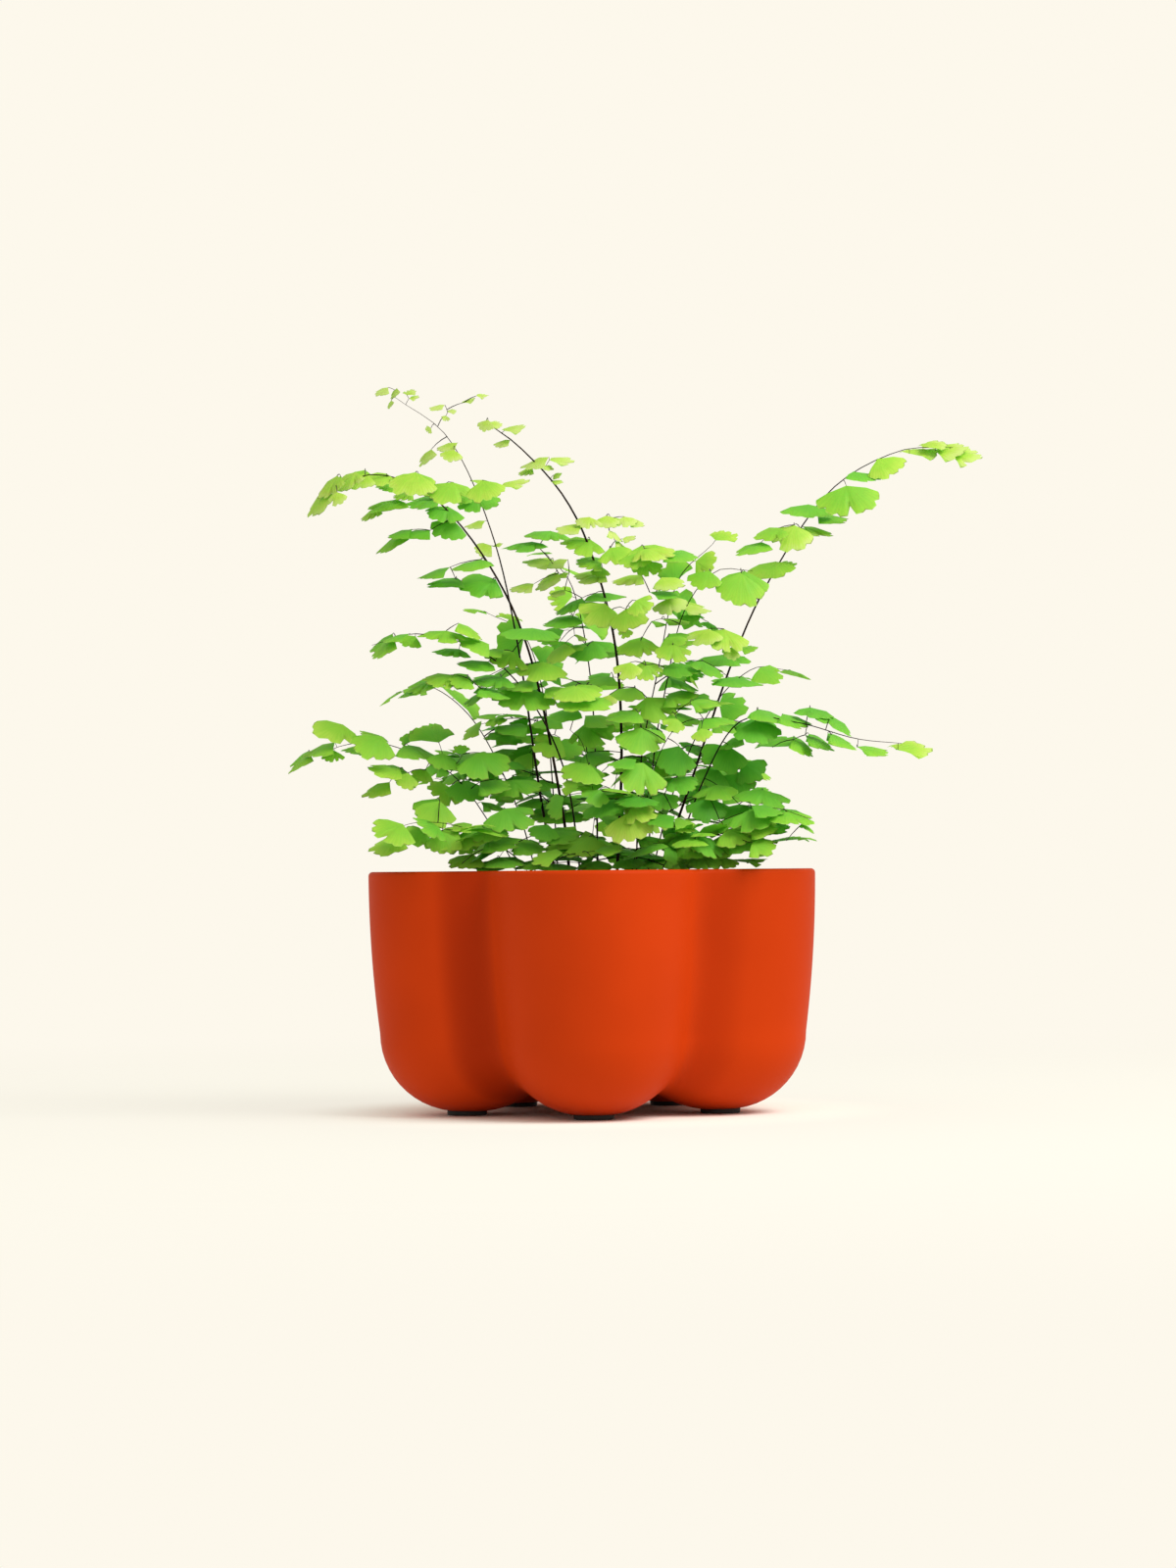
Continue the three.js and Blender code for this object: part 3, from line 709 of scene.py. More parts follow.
growth = {
    "size": 0.78,  # of the frame's leaflets
    "spacing": 0.56,
    "turn": 62,
    "turnSway": 26,
    "rollSway": 30,
    "droop": 6,
    "droopSway": 22,
    "start": 1.08,
    "end": 0.78,
    "sway": 0.3,
    "branchFrom": 24,  # longer sprays fork
    "branchShare": 0.42,
    "facing": 0.1,  # this share turns its face to the light
    "facingDroop": 28,
    "tintSway": 0.34,
    "outerTint": 0.14,
    "tipTint": 0.12,
    "sparse": 1.75,  # wider spacing on the fronds named inner and back
    "lowest": 92,  # at the front, those that would hang lower than this are left out
    "frontUpTo": 20,
}
light = Vector((0, -0.32, 1))
outwardShare = 0.2
placed = {  # the leaflets that the front view shows one by one
    "size": 1.18,
    "stemFrom": 0.3,  # twigs leave a stem from this share of its length on
    "stemSpan": 0.7,
    "stemSteps": 140,
    "steepest": 0.8,
    "longest": 13.5,
    "freshFrom": 0.2,  # these two spread the freshness
    "freshSpan": 0.82,
    "tintSway": 0.1,
    "heroFrom": 0.72,  # steeper ones that are also fresher than the next stand out to the front
    "heroFresh": 0.45,
    "heroDepths": (-28, -15),
    "heroShift": 5,  # and are moved back by less than this to clear others
    "foremost": -66,  # from the pot's axis
    "twigFrom": 5,  # mm: shorter ones are stalks
    "twigRadius": 0.18,
    "arch": 0.04,
    "depths": (-5, 14),  # from the stem
    "swayDepth": 4,  # from another twig
    "fullDepthFrom": 6,  # mm of twig: less depth on a shorter one
    "partnerShare": 0.4,
    "partnerFrom": 8.5,
    "partnerDepths": (9, 22),
    "partnerAcross": (-1.5, 1.5),
    "partnerUp": (-0.5, 1.5),
    "partnerSize": 0.86,
    "partnerDarker": 0.1,
}
fanRule = {"first": 0.3, "open": 68, "closing": 14, "shortening": 0.4, "lift": 8}
# how a spray may be turned and lifted, to lie where the solid's does
turnsTried = (0, 12, -12, 24, -24, 38, -38)
liftsTried = (0, 12, -12)
sharesTested = (0.3, 0.55, 0.8, 0.95)
# where a leaflet stands that would pass through another: further back or forward, tipped or swung round
depthsTried = (0, 2.5, -2.5, 5, -5, 7.5, -7.5, 10, -10, 13, -13, 16, -16, 20, 24)
tipsTried = (0, 12, -12, 24, -24, 36, -36)
swingsTried = (0, 22, -22, 44, -44)


def fan(count, heading, reach, top):
    sprays = []
    for i in range(count):
        share = i / (count - 1)
        opening = (1 if i % 2 else -1) * (fanRule["open"] - fanRule["closing"] * share)
        length = reach * (1 - fanRule["shortening"] * share)
        first = fanRule["first"]
        sprays.append((first + (top - first) * share, heading + opening, length, fanRule["lift"]))
    return sprays


# root and route, in mm from where the pot's axis meets the floor, and for a frond with sprays its leaflet
# length, the share of its stem that is a leafy tip, its freshness, and each spray's share of the stem,
# heading, length and lift
fronds = {
    "upper_left": (
        (-8, -8),
        (
            (-10, -11, 106), (-20, -16, 158), (-33, -22, 190),
            (-53, -28, 216), (-73, -32, 225), (-92, -36, 220),
        ),
    ),
    "top_left": (
        (-13, 2),
        ((-18, 4, 112), (-26, 8, 168), (-35, 12, 208), (-50, 16, 242), (-70, 18, 258)),
    ),
    "mid_left": (
        (-4, -16),
        ((-9, -20, 120), (-21, -26, 146), (-38, -30, 163), (-60, -34, 169), (-76, -36, 165)),
    ),
    "low_left": (
        (-26, -14),
        ((-36, -16, 103), (-50, -18, 121), (-72, -19, 131), (-86, -18, 131), (-97, -17, 127)),
    ),
    "rim_left": (
        (-22, -30),
        ((-28, -34, 92), (-44, -42, 101), (-60, -46, 103), (-72, -48, 99)),
        15.5, 0, 0.46,
        ((0.2, 330, 22, 0), (0.3, 165, 28, 14), (0.38, 255, 22, -8)),
    ),
    "centre": (
        (9, -6),
        ((11, -6, 128), (9, -8, 166), (1, -10, 198), (-9, -11, 219), (-24, -12, 236), (-36, -13, 245)),
    ),
    "upper_right": (
        (24, 2),
        ((34, 3, 112), (51, 7, 160), (65, 12, 190), (87, 18, 222), (112, 24, 237), (133, 28, 239)),
    ),
    "low_right": (
        (28, -12),
        ((40, -17, 118), (53, -24, 138), (72, -32, 137), (92, -38, 131), (108, -42, 129)),
    ),
    "rim_right": (
        (24, -28),
        ((30, -32, 93), (46, -38, 103), (62, -42, 107), (76, -45, 103)),
        16.5, 0, 0.42,
        ((0.22, 205, 22, 0), (0.3, 15, 28, 12), (0.39, 290, 24, -8)),
    ),
    "centre_right": (
        (20, -18),
        ((22, -22, 124), (27, -26, 152), (33, -28, 176), (44, -31, 190), (57, -34, 190)),
    ),
    "front": (
        (2, -30),
        ((2, -36, 100), (0, -44, 118), (-3, -52, 130), (-7, -60, 134)),
        17, 0, 0.5,
        ((0.26, 200, 30, -10), (0.56, 0, 26, 4)),
    ),
    "front_right": (
        (14, -32),
        ((18, -38, 104), (23, -46, 124), (31, -53, 136), (44, -60, 138)),
        16, 0, 0.48,
        ((0.26, 310, 30, -10), (0.46, 215, 26, 0)),
    ),
    "inner_left": (
        (-12, -4),
        ((-14, 10, 120), (-17, 18, 150), (-24, 25, 172), (-37, 31, 180)),
        14, 0.24, 0.42, fan(6, 150, 34, 0.76),
    ),
    "inner_right": (
        (16, 8),
        ((18, 12, 124), (25, 16, 160), (32, 19, 190), (45, 23, 204)),
        14, 0.22, 0.48, fan(6, 20, 34, 0.78),
    ),
    "back": (
        (2, 16),
        ((2, 24, 118), (0, 36, 158), (-6, 50, 190), (-16, 62, 204)),
        14.5, 0.26, 0.45, fan(6, 100, 36, 0.74),
    ),
    "back_left": (
        (-20, 14),
        ((-28, 24, 112), (-42, 38, 140), (-58, 52, 154), (-70, 62, 153)),
        15, 0.22, 0.4, fan(5, 140, 36, 0.6),
    ),
    "back_right": (
        (22, 20),
        ((30, 30, 114), (44, 44, 144), (60, 58, 160), (74, 66, 160)),
        15, 0.32, 0.42, fan(5, 45, 36, 0.6),
    ),
    "rim_back": (
        (0, 32),
        ((0, 38, 94), (2, 56, 110), (4, 72, 112), (6, 84, 106)),
        15.2, 0.5, 0.4, fan(3, 90, 28, 0.5),
    ),
}


# as the front view shows them: across from the pot's axis and up from the floor, width and height, in mm,
# then heading from above and roll, in degrees, and freshness from 0 to 1. Each was marked in the
# photograph's pixels and converted at 0.35 mm a pixel, to the nearest half millimetre
leaflets = {
    "upper_left": (
        (-97.5, 217.5, 9.5, 5, 200, 48, 0.82), (-89.5, 219.5, 7, 5.5, 250, 25, 0.85),
        (-93.5, 224, 10, 5, 205, 38, 0.8), (-88, 226, 10.5, 5, 205, 25, 0.8),
        (-81.5, 226, 10.5, 5.5, 235, 10, 0.82), (-75, 227, 9, 4.5, 220, 5, 0.78),
        (-72, 224.5, 7.5, 3.5, 200, 0, 0.6), (-62.5, 224.5, 15.5, 8, 262, -4, 0.8),
        (-49, 221, 14.5, 7.5, 265, -3, 0.72), (-37, 222, 12.5, 7, 280, 5, 0.7),
        (-26.5, 225.5, 9, 4, 10, 22, 0.93), (-60, 219, 11, 3, 200, 2, 0.35),
        (-71.5, 217.5, 13.5, 3, 190, 8, 0.5), (-79, 214, 7.5, 3, 200, 28, 0.75),
        (-39, 217.5, 12.5, 5, 280, 6, 0.3), (-52, 214, 13.5, 4.5, 250, -6, 0.28),
        (-50, 208, 12, 9, 255, -8, 0.25), (-62, 207.5, 11.5, 3, 190, -2, 0.32),
        (-68, 207.5, 8.5, 3, 200, 5, 0.4), (-72, 203.5, 10, 3, 200, 30, 0.62),
        (-56, 193.5, 11, 2.5, 190, 10, 0.42), (-42, 196, 14.5, 2, 190, 8, 0.38),
        (-51, 189.5, 12.5, 2, 185, 0, 0.3), (-39.5, 188.5, 13.5, 9.5, 200, -4, 0.25),
        (-45, 219, 7, 3, 260, -5, 0.5), (-55, 221.5, 7.5, 4, 230, -8, 0.66),
        (-67, 221, 7, 3, 200, 5, 0.7),
    ),
    "top_left": (
        (-74, 258, 5, 3, 200, 20, 0.97), (-63.5, 258, 4, 3.5, 30, 35, 0.97),
        (-69.5, 257, 4, 2.5, 200, 50, 1), (-71, 253, 3, 1.5, 200, 60, 1),
        (-62, 256, 3.5, 2, 350, 25, 0.97), (-54, 252.5, 5, 2, 190, 5, 0.97),
        (-51, 248, 3, 4.5, 270, -15, 0.97), (-48.5, 251, 3, 2, 20, 20, 1),
        (-42.5, 255, 4, 2, 20, 30, 0.97), (-37.5, 256.5, 4, 2, 10, 10, 0.97),
        (-57, 244, 3, 3.5, 250, -40, 0.95), (-51, 238.5, 7.5, 3, 200, 5, 0.95),
        (-48.5, 234.5, 7.5, 4, 260, -5, 0.93), (-58.5, 234, 6.5, 3.5, 200, 45, 0.93),
        (-41, 210.5, 7, 3, 190, 8, 0.9), (-37.5, 201.5, 7.5, 5.5, 220, -10, 0.9),
        (-39, 226, 5.5, 1.5, 10, 8, 0.75), (-32.5, 203, 3, 1.5, 20, 30, 0.9),
        (-14.5, 131, 13, 10, 230, -8, 0.5), (-15.5, 139.5, 12.5, 3.5, 200, 0, 0.35),
        (-29, 138, 11, 4, 190, -5, 0.35), (-22, 134, 9, 3.5, 200, -10, 0.4),
        (-15.5, 106, 12, 5, 200, 5, 0.3), (-14.5, 117.5, 10.5, 3.5, 340, 0, 0.28),
        (-22.5, 111, 10, 3.5, 200, 5, 0.28),
    ),
    "centre": (
        (-36.5, 245.5, 5, 5.5, 220, 30, 0.93), (-33, 246.5, 5, 3, 20, 10, 0.92),
        (-26, 245.5, 7.5, 3, 15, 25, 0.93), (-31, 239.5, 5.5, 2.5, 190, 8, 0.9),
        (-19.5, 232.5, 9.5, 4, 190, 12, 0.9), (-9.5, 233.5, 7.5, 3.5, 10, 8, 0.92),
        (-23, 229, 5.5, 2.5, 195, 15, 0.9), (-13.5, 230, 3, 2, 340, -20, 1),
        (-11, 227.5, 3, 2, 330, 20, 1), (-11, 225.5, 4, 1.5, 10, 10, 0.9),
        (-7, 209, 8.5, 4, 190, 0, 0.93), (-0.5, 210, 8.5, 4, 250, 3, 0.95),
        (6.5, 210.5, 9.5, 4, 270, 2, 0.93), (13.5, 210.5, 9, 3, 290, -2, 0.92),
        (18, 210.5, 5, 3, 350, -5, 0.95), (10, 205.5, 5.5, 2.5, 340, -30, 1),
        (14.5, 205, 4.5, 2, 340, 20, 1), (11.5, 202.5, 4, 2, 350, -25, 0.97),
        (-3, 202.5, 13.5, 6, 230, -4, 0.62), (-1, 196.5, 9, 4, 200, -5, 0.55),
        (-15.5, 206, 15.5, 2, 184, -3, 0.28), (-24, 202.5, 14, 2, 184, 4, 0.28),
        (-19, 197, 9, 4, 200, -8, 0.95), (-12.5, 196.5, 8.5, 3.5, 190, 5, 0.95),
        (-25, 188, 9, 3, 190, 4, 0.93), (-15.5, 189.5, 9, 3, 200, 28, 0.93),
        (-0.5, 191.5, 10.5, 3, 195, 0, 0.85), (10, 199, 12, 5.5, 300, 5, 0.6),
        (4, 192.5, 7.5, 3, 250, 0, 0.6), (-8.5, 180.5, 11, 3, 200, 22, 0.25),
        (6.5, 184.5, 12, 2, 340, 2, 0.3), (-9.5, 175.5, 14.5, 2.5, 188, 5, 0.3),
        (4, 177, 13.5, 12.5, 255, -10, 0.7), (14.5, 175.5, 12, 8.5, 280, 15, 0.7),
        (18.5, 180, 8.5, 7, 300, 10, 0.72), (13, 170.5, 5.5, 5, 260, 10, 0.74),
        (1.5, 164.5, 17.5, 6, 200, 4, 0.22), (-11.5, 164, 12, 5, 205, 32, 0.7),
        (-5, 166.5, 7, 2, 190, -5, 0.55), (3, 154.5, 9, 3, 200, 0, 0.35),
        (-2.5, 169.5, 5, 2, 10, -10, 0.8), (-10, 192, 5, 2, 190, 5, 0.8),
        (-12, 185.5, 5.5, 2, 190, 10, 0.9), (0, 134, 16, 8.5, 290, 5, 0.4),
        (4, 140.5, 12.5, 4, 330, 0, 0.42), (3, 127, 12, 4.5, 340, 0, 0.32),
        (-5, 106, 10.5, 4, 330, 0, 0.28), (3, 114.5, 9, 3, 200, 0, 0.22), (-9, 112.5, 9, 3, 340, 0, 0.22),
        (12.5, 132.5, 8.5, 5, 200, 0, 0.3),
    ),
    "centre_right": (
        (22.5, 199, 14.5, 4, 300, 5, 0.82), (34.5, 199, 11.5, 3.5, 350, 0, 0.35),
        (17, 196.5, 10.5, 5, 260, 5, 0.58), (21, 193.5, 9, 5, 290, -5, 0.6),
        (12.5, 190.5, 10.5, 3, 200, 5, 0.8), (28, 188.5, 12, 4.5, 300, 3, 0.85),
        (27.5, 185.5, 10, 2.5, 350, 5, 0.35), (41.5, 189.5, 11, 7, 240, 8, 0.6),
        (53.5, 186, 18, 11, 270, -8, 0.62), (29, 180, 10.5, 5.5, 285, 3, 0.9),
        (38.5, 180, 9.5, 3, 350, 0, 0.88), (31, 175.5, 9, 2, 350, 0, 0.6),
        (17, 165, 14.5, 5, 250, 5, 0.62), (30, 167.5, 11, 4, 300, 8, 0.6),
        (29.5, 163, 11, 6, 270, -5, 0.72), (14, 157, 9, 9, 250, 10, 0.78),
        (20.5, 156, 9, 10, 290, -8, 0.76), (32.5, 158, 14.5, 4, 340, -5, 0.3),
        (42.5, 158, 14, 3, 340, -25, 0.28), (53.5, 153.5, 14.5, 2, 356, -3, 0.28),
        (34.5, 152.5, 10.5, 2.5, 340, -15, 0.3), (13, 149.5, 14, 4, 200, 2, 0.5),
        (22.5, 143.5, 16, 9.5, 300, -5, 0.54), (32.5, 148.5, 12, 5, 340, 10, 0.45),
        (41.5, 146, 10, 4, 350, 5, 0.5), (30, 137.5, 7.5, 6.5, 270, -20, 0.76),
        (6.5, 146.5, 6, 6, 240, 20, 0.92), (40, 134, 7, 5.5, 270, 10, 0.75),
        (25, 174.5, 5, 2, 10, 0, 0.5), (46, 139.5, 12, 3, 350, 5, 0.35),
        (35, 140.5, 10.5, 3.5, 340, -10, 0.4),
    ),
    "upper_right": (
        (64, 193, 15.5, 5, 200, 14, 0.7), (70, 195.5, 7.5, 4, 20, 20, 0.6),
        (58.5, 201, 14, 3, 190, 10, 0.42), (64, 206, 10, 5, 210, 12, 0.6),
        (73, 204, 14.5, 9, 270, -5, 0.84), (82.5, 207.5, 10.5, 3, 350, -5, 0.8),
        (78.5, 214, 18, 3, 182, -3, 0.3), (93, 217, 19, 10.5, 320, 8, 0.52),
        (98.5, 219, 8.5, 6.5, 340, -10, 0.56), (106.5, 229.5, 14.5, 7, 300, 10, 0.78),
        (98.5, 226.5, 13.5, 2, 358, -5, 0.35), (119, 236, 12, 5.5, 20, 10, 0.9),
        (124, 238, 10, 5, 30, 15, 0.9), (130.5, 236.5, 11, 5.5, 340, 20, 0.92),
        (136, 234, 10, 6.5, 350, 10, 0.95), (47.5, 168, 16, 7, 270, -8, 0.8),
        (41.5, 169, 12, 5, 250, 5, 0.86), (50.5, 163, 7, 5.5, 260, -10, 0.93),
        (57.5, 165.5, 6.5, 2.5, 350, 15, 0.5), (48, 161, 19.5, 2.5, 186, 0, 0.32),
        (88, 212, 10.5, 2.5, 350, 0, 0.4), (57.5, 188.5, 8.5, 3.5, 20, 18, 0.7),
    ),
    "mid_left": (
        (-74.5, 166.5, 10.5, 4.5, 200, 30, 0.5), (-64, 168.5, 8.5, 4.5, 240, -10, 0.6),
        (-69.5, 170.5, 9, 2, 190, 5, 0.45), (-53, 170.5, 15.5, 2.5, 186, -3, 0.5),
        (-41.5, 172, 10, 2.5, 345, -25, 0.6), (-40.5, 167.5, 12, 5, 200, -20, 0.5),
        (-50, 165, 12.5, 2, 186, -5, 0.35), (-30.5, 162, 14.5, 6.5, 240, -10, 0.6),
        (-40, 160.5, 14, 2.5, 186, -8, 0.35), (-17, 157.5, 19, 5.5, 280, -3, 0.62),
        (-20.5, 171, 19, 2.5, 186, -4, 0.3), (-35.5, 165, 8.5, 3, 200, -5, 0.55),
        (-53, 155, 13.5, 5, 210, -3, 0.6), (-60.5, 153, 10, 3, 200, 15, 0.5),
        (-66, 150, 6.5, 1.5, 195, 18, 0.45), (-45.5, 153.5, 9, 4, 240, -10, 0.52),
        (-35.5, 154.5, 14.5, 3, 186, -2, 0.32), (-42.5, 148, 8.5, 2, 195, 28, 0.35),
        (-34, 150, 12.5, 2, 345, -8, 0.35), (-23.5, 147.5, 19, 7, 260, -5, 0.4),
        (-26, 153, 10.5, 3.5, 200, 5, 0.45), (-11, 151, 8.5, 3.5, 340, 5, 0.6),
    ),
    "low_left": (
        (-104.5, 125.5, 9, 3, 200, 32, 0.55), (-97.5, 130.5, 11, 4, 200, 14, 0.52),
        (-92.5, 127.5, 7.5, 4.5, 240, 10, 0.6), (-91, 136, 16, 6.5, 225, -14, 0.66),
        (-77.5, 135.5, 10, 2.5, 190, -30, 0.5), (-77, 130.5, 15.5, 8.5, 250, -12, 0.55),
        (-65, 134.5, 6.5, 5, 120, 10, 0.4), (-56.5, 136, 14.5, 10, 130, -20, 0.45),
        (-60.5, 129, 11, 4, 340, -15, 0.45), (-46, 130, 6.5, 9, 110, -5, 0.42),
        (-52, 125.5, 12, 5, 300, -25, 0.42), (-37.5, 124, 16, 10, 330, -8, 0.36),
        (-72.5, 123, 12.5, 4, 220, -15, 0.72), (-66, 118.5, 9, 6.5, 270, -15, 0.74),
        (-77, 116, 10.5, 5.5, 205, 15, 0.72), (-53, 114, 11, 7, 240, -20, 0.68),
        (-60, 120.5, 9, 4, 260, -20, 0.72), (-44, 115, 14.5, 7, 300, -20, 0.3),
        (-83.5, 131, 10.5, 3.5, 200, 0, 0.5), (-34, 117.5, 12, 5.5, 330, 5, 0.34),
        (-26.5, 116, 16, 5, 350, 2, 0.32), (-42, 128, 9, 5, 20, 20, 0.45),
        (-33, 109.5, 11, 2, 350, -10, 0.28),
    ),
    "rim_left": (
        (-71, 101, 13.5, 8.5, 215, -5, 0.68), (-74, 96, 11, 6, 205, 15, 0.66),
        (-55.5, 107, 15.5, 8.5, 255, -5, 0.52), (-61.5, 98.5, 10.5, 7, 230, -20, 0.5),
        (-53, 96.5, 12, 10, 260, 10, 0.45), (-41.5, 98.5, 14, 6.5, 280, 15, 0.5),
        (-44.5, 90, 12.5, 5, 240, 5, 0.6), (-28.5, 104.5, 15.5, 9, 300, -5, 0.34),
        (-32, 97, 13.5, 5, 320, 5, 0.42), (-22.5, 95, 12, 5, 340, 0, 0.38),
        (-37, 89, 12, 3, 200, 0, 0.3), (-10, 99.5, 12.5, 5, 340, 5, 0.4),
        (-29.5, 90, 14, 3, 350, 0, 0.3), (-47, 102.5, 7.5, 3.5, 200, 0, 0.55),
        (-36.5, 100, 12.5, 6.5, 260, 5, 0.36), (-17, 100, 12, 5, 250, -5, 0.3),
        (-47, 95, 11, 5.5, 250, 8, 0.42), (-6.5, 93.5, 12, 3.5, 300, 0, 0.3),
    ),
    "front": (
        (-2.5, 95, 16.5, 6.5, 245, 3, 0.54), (-3, 121, 14, 7.5, 240, -3, 0.56),
        (-5, 149.5, 17.5, 4, 262, 4, 0.72), (-1.5, 146, 17, 4, 280, 0, 0.5),
        (-9, 142.5, 12, 3.5, 200, 3, 0.3), (-20.5, 89, 12.5, 3, 200, 0, 0.4),
        (-9.5, 88, 11, 3, 340, 0, 0.35), (2, 88, 12, 3, 260, 0, 0.45),
        (13.5, 89, 12, 3, 300, 0, 0.3), (5, 109, 10, 4, 200, 0, 0.25),
    ),
    "front_right": (
        # painted light: the first of these is given a fresher, lighter green, 0.8, to offset the shadow that
        # a leaflet above casts on it
        (13, 101, 15.5, 11, 280, -4, 0.8), (17, 119, 17, 11.5, 300, -18, 0.54),
        (19, 132, 16.5, 8.5, 310, -12, 0.52), (30, 125, 15.5, 10.5, 250, 0, 0.2),
        (12.5, 141.5, 12, 4, 200, 0, 0.4), (32.5, 116.5, 12, 5.5, 300, 0, 0.25),
        (22, 97.5, 10.5, 3.5, 340, 5, 0.3), (26.5, 110, 9, 7, 280, 0, 0.3),
        (22.5, 88.5, 12, 3, 280, 0, 0.4), (33.5, 89, 12.5, 3, 340, 0, 0.42),
        (24.5, 104.5, 9, 5, 200, 0, 0.28), (12.5, 111.5, 9, 3.5, 200, 0, 0.22),
        (11, 125, 9, 4, 200, 0, 0.3), (21, 111, 7, 3, 340, 0, 0.2),
    ),
    "low_right": (
        (60, 135, 16, 7, 340, -5, 0.24), (67.5, 132, 14.5, 5.5, 20, 14, 0.36),
        (77, 129, 9, 4, 340, -30, 0.5), (82.5, 131.5, 10.5, 3, 345, -18, 0.45),
        (91.5, 131.5, 10, 3, 345, -18, 0.45), (101.5, 129, 10.5, 3, 350, 0, 0.5),
        (115, 130, 12, 6.5, 10, 8, 0.82), (65, 141, 12.5, 3, 350, -12, 0.35),
        (73.5, 139.5, 12.5, 3.5, 345, -12, 0.34), (80, 142, 15.5, 2, 355, -8, 0.25),
        (88, 138, 14, 3, 340, -28, 0.25), (47.5, 125.5, 14.5, 10, 240, 0, 0.2),
        (57.5, 121, 12, 10, 300, 10, 0.2), (45, 114, 16, 4, 270, 4, 0.42),
        (61, 111.5, 17, 5, 345, -8, 0.24), (49.5, 131.5, 9, 3.5, 200, 20, 0.25),
        (52, 116.5, 14, 8.5, 260, 5, 0.2), (43.5, 118.5, 12, 7.5, 240, -5, 0.22),
        (53, 105.5, 12.5, 7, 280, -5, 0.22),
    ),
    "rim_right": (
        (72.5, 104.5, 13.5, 4, 345, -8, 0.42), (69.5, 97.5, 19, 3, 15, 6, 0.5),
        (57.5, 104, 18, 6.5, 350, 8, 0.3), (49.5, 95.5, 17.5, 7.5, 320, 20, 0.5),
        (46, 88.5, 11, 3.5, 270, 0, 0.55), (41.5, 107, 13.5, 11, 270, -10, 0.2),
        (34.5, 97.5, 15.5, 7, 250, -5, 0.22), (77.5, 100.5, 5.5, 1.5, 330, -30, 0.4),
        (63.5, 108, 10.5, 4, 340, 0, 0.25), (56.5, 90, 12.5, 3, 10, 8, 0.45),
        (65, 102, 12.5, 5, 350, 5, 0.3), (53, 97.5, 12.5, 5.5, 300, 8, 0.3),
        (39, 89, 12.5, 4, 270, 0, 0.35),
    ),
}


class Route:
    # a smooth line through points, read by the share of its length
    def __init__(self, points, steps):
        self.points = [Vector(p) for p in points]
        self.steps = steps
        samples = [self.between(i / steps) for i in range(steps + 1)]
        self.lengths = [0]
        for one, other in zip(samples, samples[1:]):
            self.lengths.append(self.lengths[-1] + (other - one).length)
        self.length = self.lengths[-1]

    def between(self, t):
        points, last = self.points, len(self.points) - 1
        place = min(max(t, 0), 1) * last
        i = min(int(place), last - 1)
        w = place - i
        a = points[i - 1] if i > 0 else 2 * points[0] - points[1]
        b, c = points[i], points[i + 1]
        d = points[i + 2] if i + 2 <= last else 2 * points[last] - points[last - 1]
        leave, arrive = (c - a) / 2, (d - b) / 2
        curve = 3 * (c - b) - 2 * leave - arrive
        ease = 2 * (b - c) + leave + arrive
        return b + leave * w + curve * w ** 2 + ease * w ** 3

    def at(self, share):
        goal = min(max(share, 0), 1) * self.length
        i = min(max(bisect.bisect_right(self.lengths, goal) - 1, 0), self.steps - 1)
        rest = (goal - self.lengths[i]) / (self.lengths[i + 1] - self.lengths[i])
        return self.between((i + rest) / self.steps)

    def ahead(self, share):
        return (self.at(share + 0.01) - self.at(share - 0.01)).normalized()


def stemRoute(root, path):
    top = stem["soilTop"]
    points = [(*root, top - stem["holeDepth"]), (*root, top + stem["collar"]), *path]
    return Route(points, stem["samples"])


def sprayRoute(start, heading, length, lift):
    points = [start]
    for i in range(twig["pieces"]):
        pitch = math.radians(lift + twig["arch"] - twig["sink"] * (i + 0.5) / twig["pieces"])
        turn = math.radians(heading)
        step = Vector((math.cos(pitch) * math.cos(turn), math.cos(pitch) * math.sin(turn), math.sin(pitch)))
        points.append(points[-1] + step * length / twig["pieces"])
    return Route(points, twig["samples"])


def facing(route, share, roll):  # a route's point, direction, left and the side that faces the light
    at, ahead = route.at(share), route.ahead(share)
    outward = Vector((at.x, at.y, 0)).normalized() * outwardShare
    normal = light + outward
    normal = (normal - ahead * normal.dot(ahead)).normalized()
    normal.rotate(Matrix.Rotation(roll, 3, ahead))
    return at, ahead, normal.cross(ahead), normal


def fromFrame(point):  # millimetres from where the pot's axis meets the floor, as a place in the scene
    return Vector((potAxis.x + point.x * mm, potAxis.y + point.y * mm, point.z * mm))


def fittedSpray(solid, start, heading, length, lift):  # as the frame's own spray was turned and lifted
    best, bestGap = None, math.inf
    for turn in turnsTried:
        for rise in liftsTried:
            route = sprayRoute(start, heading + turn, length, lift + rise)
            gaps = [solid.find_nearest(fromFrame(route.at(share)))[3] for share in sharesTested]
            if sum(gaps) < bestGap:
                best, bestGap = (heading + turn, lift + rise), sum(gaps)
    return best


def onSight(across, up, depth):  # a point of the front view, taken back along the camera's line of sight
    eye = Vector((camera["aside"], -camera["away"], camera["height"]))
    return eye + (Vector((across, 0, up)) - eye) * (1 + depth / camera["away"])


def inView(point):  # and back again
    eye = Vector((camera["aside"], -camera["away"], camera["height"]))
    flat = eye + (point - eye) / (1 + point.y / camera["away"])
    return Vector((flat.x, flat.z))


def planBox(turn):  # of a fan one long, from above
    spots, angles = [Vector((0, 0))], leaflet["planAngles"]
    for angle in angles:
        reach = 1 - leaflet["shoulder"] * abs(angle / angles[-1]) ** 3
        way = turn + math.radians(angle)
        spots.append(reach * Vector((math.cos(way), math.sin(way))))
    low = Vector([min(spot[i] for spot in spots) for i in (0, 1)])
    return low, Vector([max(spot[i] for spot in spots) for i in (0, 1)])


